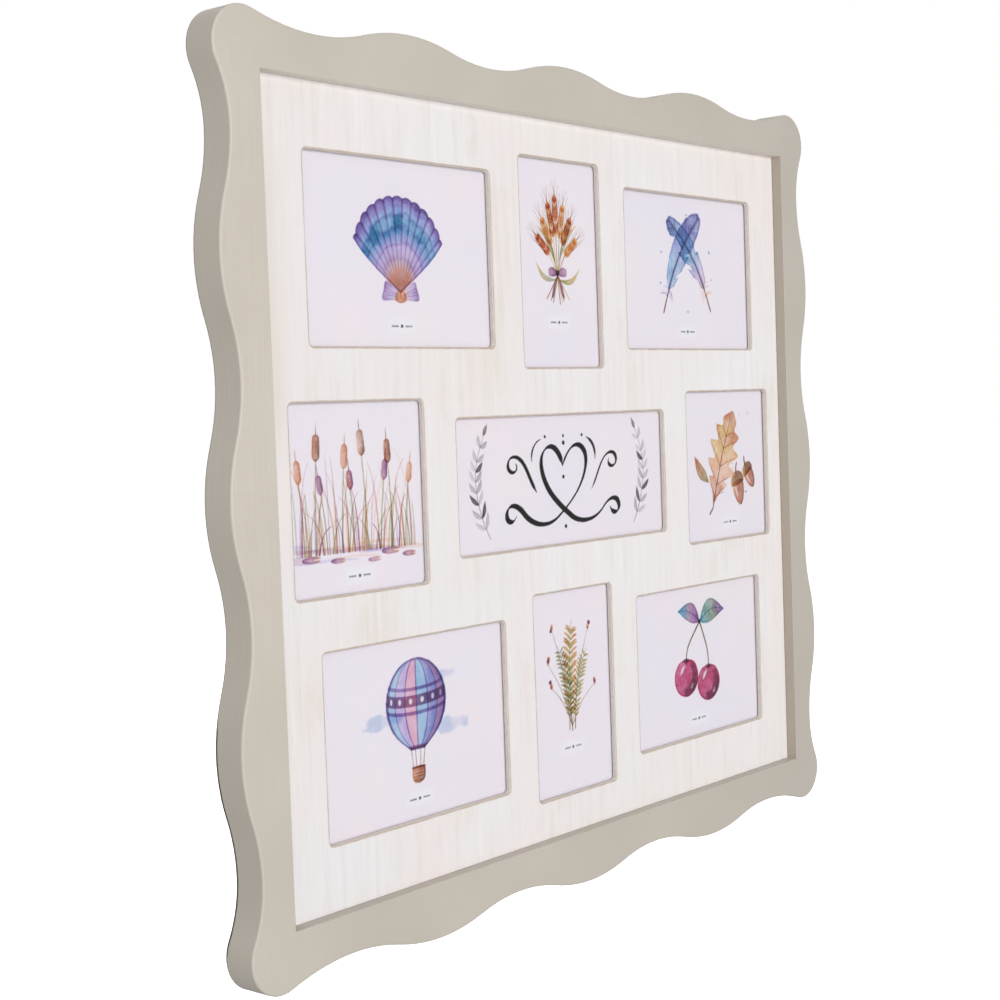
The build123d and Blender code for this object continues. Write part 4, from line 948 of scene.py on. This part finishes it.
def plaque(s):
    """A pen flourish round a heart, between two sprigs."""
    def pen(pts, thin, thick, density=2.1, slope=38):
        """A broad nib held at a slope; it lands and lifts to a point."""
        p = bezier(pts)
        d = np.gradient(p, axis=0)
        ang = np.arctan2(d[:, 1], d[:, 0])
        r = thin + (thick - thin) * np.abs(np.sin(ang - math.radians(slope))) ** 1.3
        run = np.concatenate([[0], np.cumsum(np.hypot(*np.diff(p, axis=0).T))])
        r = r * np.clip(np.minimum(run / 5.0, (run[-1] - run) / 5.0), 0.22, 1)
        w, x, y = s.near(p, thick + 1.5)
        s.fill(w, x, y, line_sd(x, y, p, r), INK, None, density=density, soft=0.28, mottle=0.08, grain=0.08, edge=0.0, rim=0.3, wobble=0.14)

    pen([(-1.5, 9), (-4, 18), (-11, 24.5), (-18.5, 21), (-27.5, 16.5), (-25.5, 3), (-15.5, -8), (-9, -15), (-1, -20), (6, -24.5),
         (15, -30.5), (32, -31), (43, -21), (50, -14.5), (59, -14), (60.5, -20.5), (61.5, -26.5), (53, -27.5), (50.5, -22)], 0.5, 2.0)
    pen([(-1.5, 9), (3.5, 19), (12.5, 25.5), (20, 20.5), (28, 15), (24, 2), (14, -8.5), (7, -15.5), (0, -20), (-7.5, -24.5),
         (-18, -31), (-34, -30), (-44, -20), (-50.5, -13.5), (-59, -12.5), (-61, -19), (-62.5, -25), (-54.5, -27), (-51.5, -21.5)], 0.5, 2.0)
    # upper curls beside the heart
    pen([(-30, -7), (-38, 2), (-40, 14), (-50, 16.5), (-58.5, 18.5), (-61.5, 9), (-55, 7), (-50.5, 5.8), (-48, 10), (-50.5, 12)], 0.42, 1.35)
    pen([(30, -8), (38, 1.5), (41, 13), (50.5, 15.5), (59, 17.5), (61.5, 8.5), (55.5, 6.5), (51, 5), (48, 9.5), (50.5, 11.5)], 0.42, 1.35)
    pen([(-34, 13), (-35, 20), (-30, 26), (-24, 27)], 0.35, 1.0)
    pen([(34.5, 12), (36, 19), (31, 25.5), (25, 27)], 0.35, 1.0)
    for x0, y0, r in ((-19.5, 28.6, 0.9), (20.5, 28.6, 0.9), (0.0, 24.0, 1.35), (0.0, 28.6, 0.9), (0.0, -31.5, 1.2), (-1.0, 1.5, 1.1)):
        s.dot(x0, y0, r, INK, 2.0, soft=0.28, mottle=0.05, grain=0.05, wobble=0.1)
    for sg in (-1, 1):
        stem = spline([(sg * 78.0, -34.0), (sg * 86.0, -19.0), (sg * 90.5, -1.0), (sg * 89.0, 15.0), (sg * 82.0, 31.0)], 10, False)
        s.stroke(stem, 0.36, 0.18, GREY, 0.7)
        n = len(stem)
        for k in range(8):
            i = int((0.14 + 0.105 * k) * (n - 1))
            p, q = stem[i], stem[min(i + 2, n - 1)]
            u = (q - p) / (np.hypot(*(q - p)) + 1e-9)
            v = np.array([-u[1], u[0]])
            long = 12.0 - 0.5 * k
            for o in (-1, 1):
                tip = p + u * long * 0.80 + v * o * long * 0.60
                tone = 0.08 + 0.2 * float(hash2(np.array(k), np.array(o + 2 + sg), 17))
                if (k, o * sg) in ((1, 1), (2, -1), (5, 1)):
                    tone = 0.95
                leaf(s, p, tip, 3.2, GREY, bend=0.7 * o, density=tone, edge=1.1)
                s.stroke([p, p + (tip - p) * 0.8], 0.18, 0.08, GREY, 0.4)
        leaf(s, stem[-1], stem[-1] + np.array([-sg * 4.2, 7.6]), 3.0, GREY, density=0.9)


def paint(place, u, v):
    """One card's colours, linear, at u, v in mm from its middle."""
    order = ["top_left", "top_center", "top_right", "middle_left", "center", "middle_right", "bottom_left", "bottom_center", "bottom_right"]
    s = Sheet(u, v, 11 + order.index(place))
    if place == "top_left":
        shell(s, 0, 4.0, 0.93)
        s.thin(0.56)
        s.tag(0, -42.5)
    elif place == "top_right":
        feathers(s, 0, 4)
        s.thin(0.62)
        s.tag(0, -42.5)
    elif place == "bottom_left":
        balloon(s, 0, 4)
        s.thin(0.62)
        s.tag(0, -43)
    elif place == "bottom_right":
        cherries(s, 0, 1)
        s.thin(0.75)
        s.tag(0, -43)
    elif place == "top_center":
        wheat(s, 0, 9)
        s.thin(0.62)
        s.tag(0, -38)
    elif place == "bottom_center":
        ferns(s, 0, 9)
        s.thin(0.62)
        s.tag(0, -38)
    elif place == "middle_left":
        reeds(s, 0, 3)
        s.thin(0.5)
        s.tag(0, -45.5)
    elif place == "middle_right":
        oak(s, 0, 2)
        s.thin(0.58)
        s.tag(6, -43)
    else:
        plaque(s)
    return s.c


# ---------------------------------------------------------------- printed cards
INCH = 25.4
CARDS = {   # place: centre across, centre up, card width, card height
    "top_left": (-152.6, 141.4, 7 * INCH, 5 * INCH), "top_right": (152.6, 141.4, 7 * INCH, 5 * INCH),
    "bottom_left": (-152.6, -141.4, 7 * INCH, 5 * INCH), "bottom_right": (152.6, -141.4, 7 * INCH, 5 * INCH),
    "top_center": (0.0, 141.4, 4 * INCH, 6 * INCH), "bottom_center": (0.0, -141.4, 4 * INCH, 6 * INCH),
    "middle_left": (-196.5, 0.0, 5 * INCH, 5 * INCH), "middle_right": (196.5, 0.0, 5 * INCH, 5 * INCH),
    "center": (0.0, 0.0, 240.4, 102.2),
}
CARD_FRONT, CARD_BACK = -9.34, -9.12
STEP, HIDDEN = 0.45, 8.0      # grid in the window, and the width of card behind its rim


def rule(size):
    """Grid lines across a card: fine in the window, coarse behind the rim."""
    half = size / 2 - HIDDEN
    fine = np.linspace(-half, half, int(math.ceil(2 * half / STEP)) + 1)
    rim = np.linspace(half, size / 2, 5)[1:]
    return np.concatenate([-rim[::-1], fine, rim])


def make_card(place, material):
    cx, cz, w, h = CARDS[place]
    us, vs = rule(w), rule(h)
    nu, nv = len(us), len(vs)
    u, v = np.meshgrid(us, vs)
    ink = paint(place, u, v).reshape(-1, 3)
    n = nu * nv
    front = np.stack([u.ravel() + cx, np.full(n, CARD_FRONT), v.ravel() + cz + ZC], 1)
    i = np.arange(n).reshape(nv, nu)
    quads = np.stack([i[:-1, :-1], i[:-1, 1:], i[1:, 1:], i[1:, :-1]], -1).reshape(-1, 4)
    rim = np.concatenate([i[0, :-1], i[:-1, -1], i[-1, :0:-1], i[:0:-1, 0]])
    back = front[rim] * (1, 0, 1) + (0, CARD_BACK, 0)
    bi = n + np.arange(len(rim))
    nxt = np.roll(np.arange(len(rim)), -1)
    sides = np.stack([rim, bi, bi[nxt], rim[nxt]], 1)
    verts = np.concatenate([front, back]) / 1000
    mesh = bpy.data.meshes.new(f"card_{place}")
    loops = np.concatenate([quads.ravel(), sides.ravel(), bi[::-1]])
    starts = np.concatenate([np.arange(len(quads) + len(sides)) * 4, [4 * (len(quads) + len(sides))]])
    mesh.vertices.add(len(verts)); mesh.vertices.foreach_set("co", verts.ravel())
    mesh.loops.add(len(loops)); mesh.loops.foreach_set("vertex_index", loops.astype(np.int32))
    mesh.polygons.add(len(starts)); mesh.polygons.foreach_set("loop_start", starts.astype(np.int32))
    mesh.update(calc_edges=True)
    att = mesh.attributes.new("ink", "FLOAT_COLOR", "POINT")
    rgba = np.ones((len(verts), 4))
    rgba[:n, :3] = ink
    rgba[n:, :3] = ink[rim]
    att.data.foreach_set("color", rgba.ravel())
    # flat map: the picture above, back and edges in a strip below
    uv = np.empty((len(loops), 2))
    fu = np.concatenate([(front[:, 0] - cx) / w + 0.5, (back[:, 0] - cx) / w + 0.5])
    fv = np.concatenate([(front[:, 2] - cz - ZC) / h + 0.5, (back[:, 2] - cz - ZC) / h + 0.5])
    uv[:, 0], uv[:, 1] = fu[loops], fv[loops] * 0.93 + 0.07
    k = 4 * len(quads)
    side_t = np.repeat(np.arange(len(sides)) / len(sides), 4) + np.tile([0, 0, 1, 1], len(sides)) / len(sides)
    uv[k:k + 4 * len(sides), 0] = side_t
    uv[k:k + 4 * len(sides), 1] = np.tile([0.058, 0.052, 0.052, 0.058], len(sides))
    uv[k + 4 * len(sides):, 0] = fu[bi[::-1]]
    uv[k + 4 * len(sides):, 1] = fv[bi[::-1]] * 0.045
    layer = mesh.uv_layers.new(name="OFBake")
    layer.data.foreach_set("uv", uv.ravel())
    mesh.materials.append(material)
    o = bpy.data.objects.new(f"card_{place}", mesh)
    bpy.context.scene.collection.objects.link(o)
    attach(o, "frame")
    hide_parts(f"print_{place}")
    return o


def printed_card():
    g = Graph("printed_card")
    x, y, z = g.mm()
    ink = g.node("Attribute", attribute_name="ink", attribute_type="GEOMETRY").outputs["Color"]
    tooth = g.noise(g.vec(x, y, z), 2.4, 4.0, 0.65)
    fibre = g.noise(g.vec(g.mul(x, 0.25), 0.0, g.mul(z, 0.6)), 1.0, 4.0, 0.6)
    c = g.mix(g.span(tooth, 0.42, 0.28, 0.0, 0.05), ink, srgb(196, 186, 196))
    c = g.mix(g.span(fibre, 0.6, 0.75, 0.0, 0.05), c, srgb(250, 247, 250))
    # painted light: the cards lighter towards the right
    lift = g.add(g.mul(x, 0.045 / HALF_W), 0.99)
    c = g.node("VectorMath", {0: c, "Scale": lift}, operation="SCALE").outputs[0]
    g.surface(Base_Color=c, Roughness=g.span(tooth, 0.3, 0.7, 0.62, 0.5, smooth=False), Specular_IOR_Level=0.25, Normal=g.bump(tooth, 0.06, 0.0002))
    return g.m


card_mat = printed_card()
for p in PLACES:
    make_card(p, card_mat)

# ---------------------------------------------------------------- camera
cam = bpy.data.cameras.new("camera")
cam.sensor_width = 36.0
cam.lens = 63.0608
cam.clip_start, cam.clip_end = 0.01, 100.0
eye = bpy.data.objects.new("camera", cam)
bpy.context.scene.collection.objects.link(eye)
right = Vector((0.638401, -0.768893, -0.035322))
up = Vector((0.062895, 0.006374, 0.998000))
back = Vector((-0.767130, -0.639346, 0.052429))
m = Matrix((right, up, back)).transposed().to_4x4()
m.translation = Vector((-0.920197, -0.719984, -0.086593))
eye.matrix_world = m
bpy.context.scene.camera = eye

# ---------------------------------------------------------------- light
world = bpy.data.worlds.new("studio")
bpy.context.scene.world = world
world.use_nodes = True
wt = world.node_tree
wt.nodes.clear()
wo = wt.nodes.new("ShaderNodeOutputWorld")
fill = wt.nodes.new("ShaderNodeBackground"); fill.inputs[0].default_value = (1, 1, 1, 1); fill.inputs[1].default_value = 0.405
white = wt.nodes.new("ShaderNodeBackground"); white.inputs[0].default_value = (1, 1, 1, 1); white.inputs[1].default_value = 1.0
ray = wt.nodes.new("ShaderNodeLightPath")
wm = wt.nodes.new("ShaderNodeMixShader")
wt.links.new(ray.outputs["Is Camera Ray"], wm.inputs[0])
wt.links.new(fill.outputs[0], wm.inputs[1])
wt.links.new(white.outputs[0], wm.inputs[2])
wt.links.new(wm.outputs[0], wo.inputs[0])


def softbox(name, place, aim, size, power, colour=(1, 1, 1)):
    l = bpy.data.lights.new(name, "AREA")
    l.shape, l.size, l.energy, l.color = "SQUARE", size, power, colour
    o = bpy.data.objects.new(name, l)
    bpy.context.scene.collection.objects.link(o)
    o.location = place
    o.rotation_euler = (Vector(aim) - Vector(place)).to_track_quat("-Z", "Y").to_euler()
    return o


MID = Vector((0, 0, ZC / 1000))
softbox("key", MID + Vector((-1.57, -3.12, 0.0)), MID, 2.4, 115.0)
back = softbox("back", MID + Vector((0.8, 2.2, 2.0)), MID, 2.4, 66.0)      # back and top edge
back.visible_glossy = False      # no glare along the top outline
glint = softbox("glint", MID + Vector((-0.6, 2.8, 1.1)), MID, 1.2, 8.0)
glint.visible_diffuse = False      # a soft shine for the metal on the back

# ---------------------------------------------------------------- floor
bpy.ops.mesh.primitive_plane_add(size=60, location=(0, 0, -0.70))
floor = bpy.context.active_object
floor.name = "floor"
fg = Graph("floor")
pale = fg.node("BsdfDiffuse", {"Color": (0.82, 0.82, 0.82, 1)})
glow = fg.node("Emission", {"Color": (1, 1, 1, 1), "Strength": 0.8})
both = fg.node("AddShader", {0: pale.outputs[0], 1: glow.outputs[0]})
fg.t.links.new(both.outputs[0], fg.out.inputs[0])
floor.data.materials.append(fg.m)
floor.visible_diffuse = floor.visible_glossy = False      # white sweep: the dome alone lights from below

bpy.context.scene.view_settings.view_transform = "Standard"
bpy.context.scene.view_settings.look = "None"
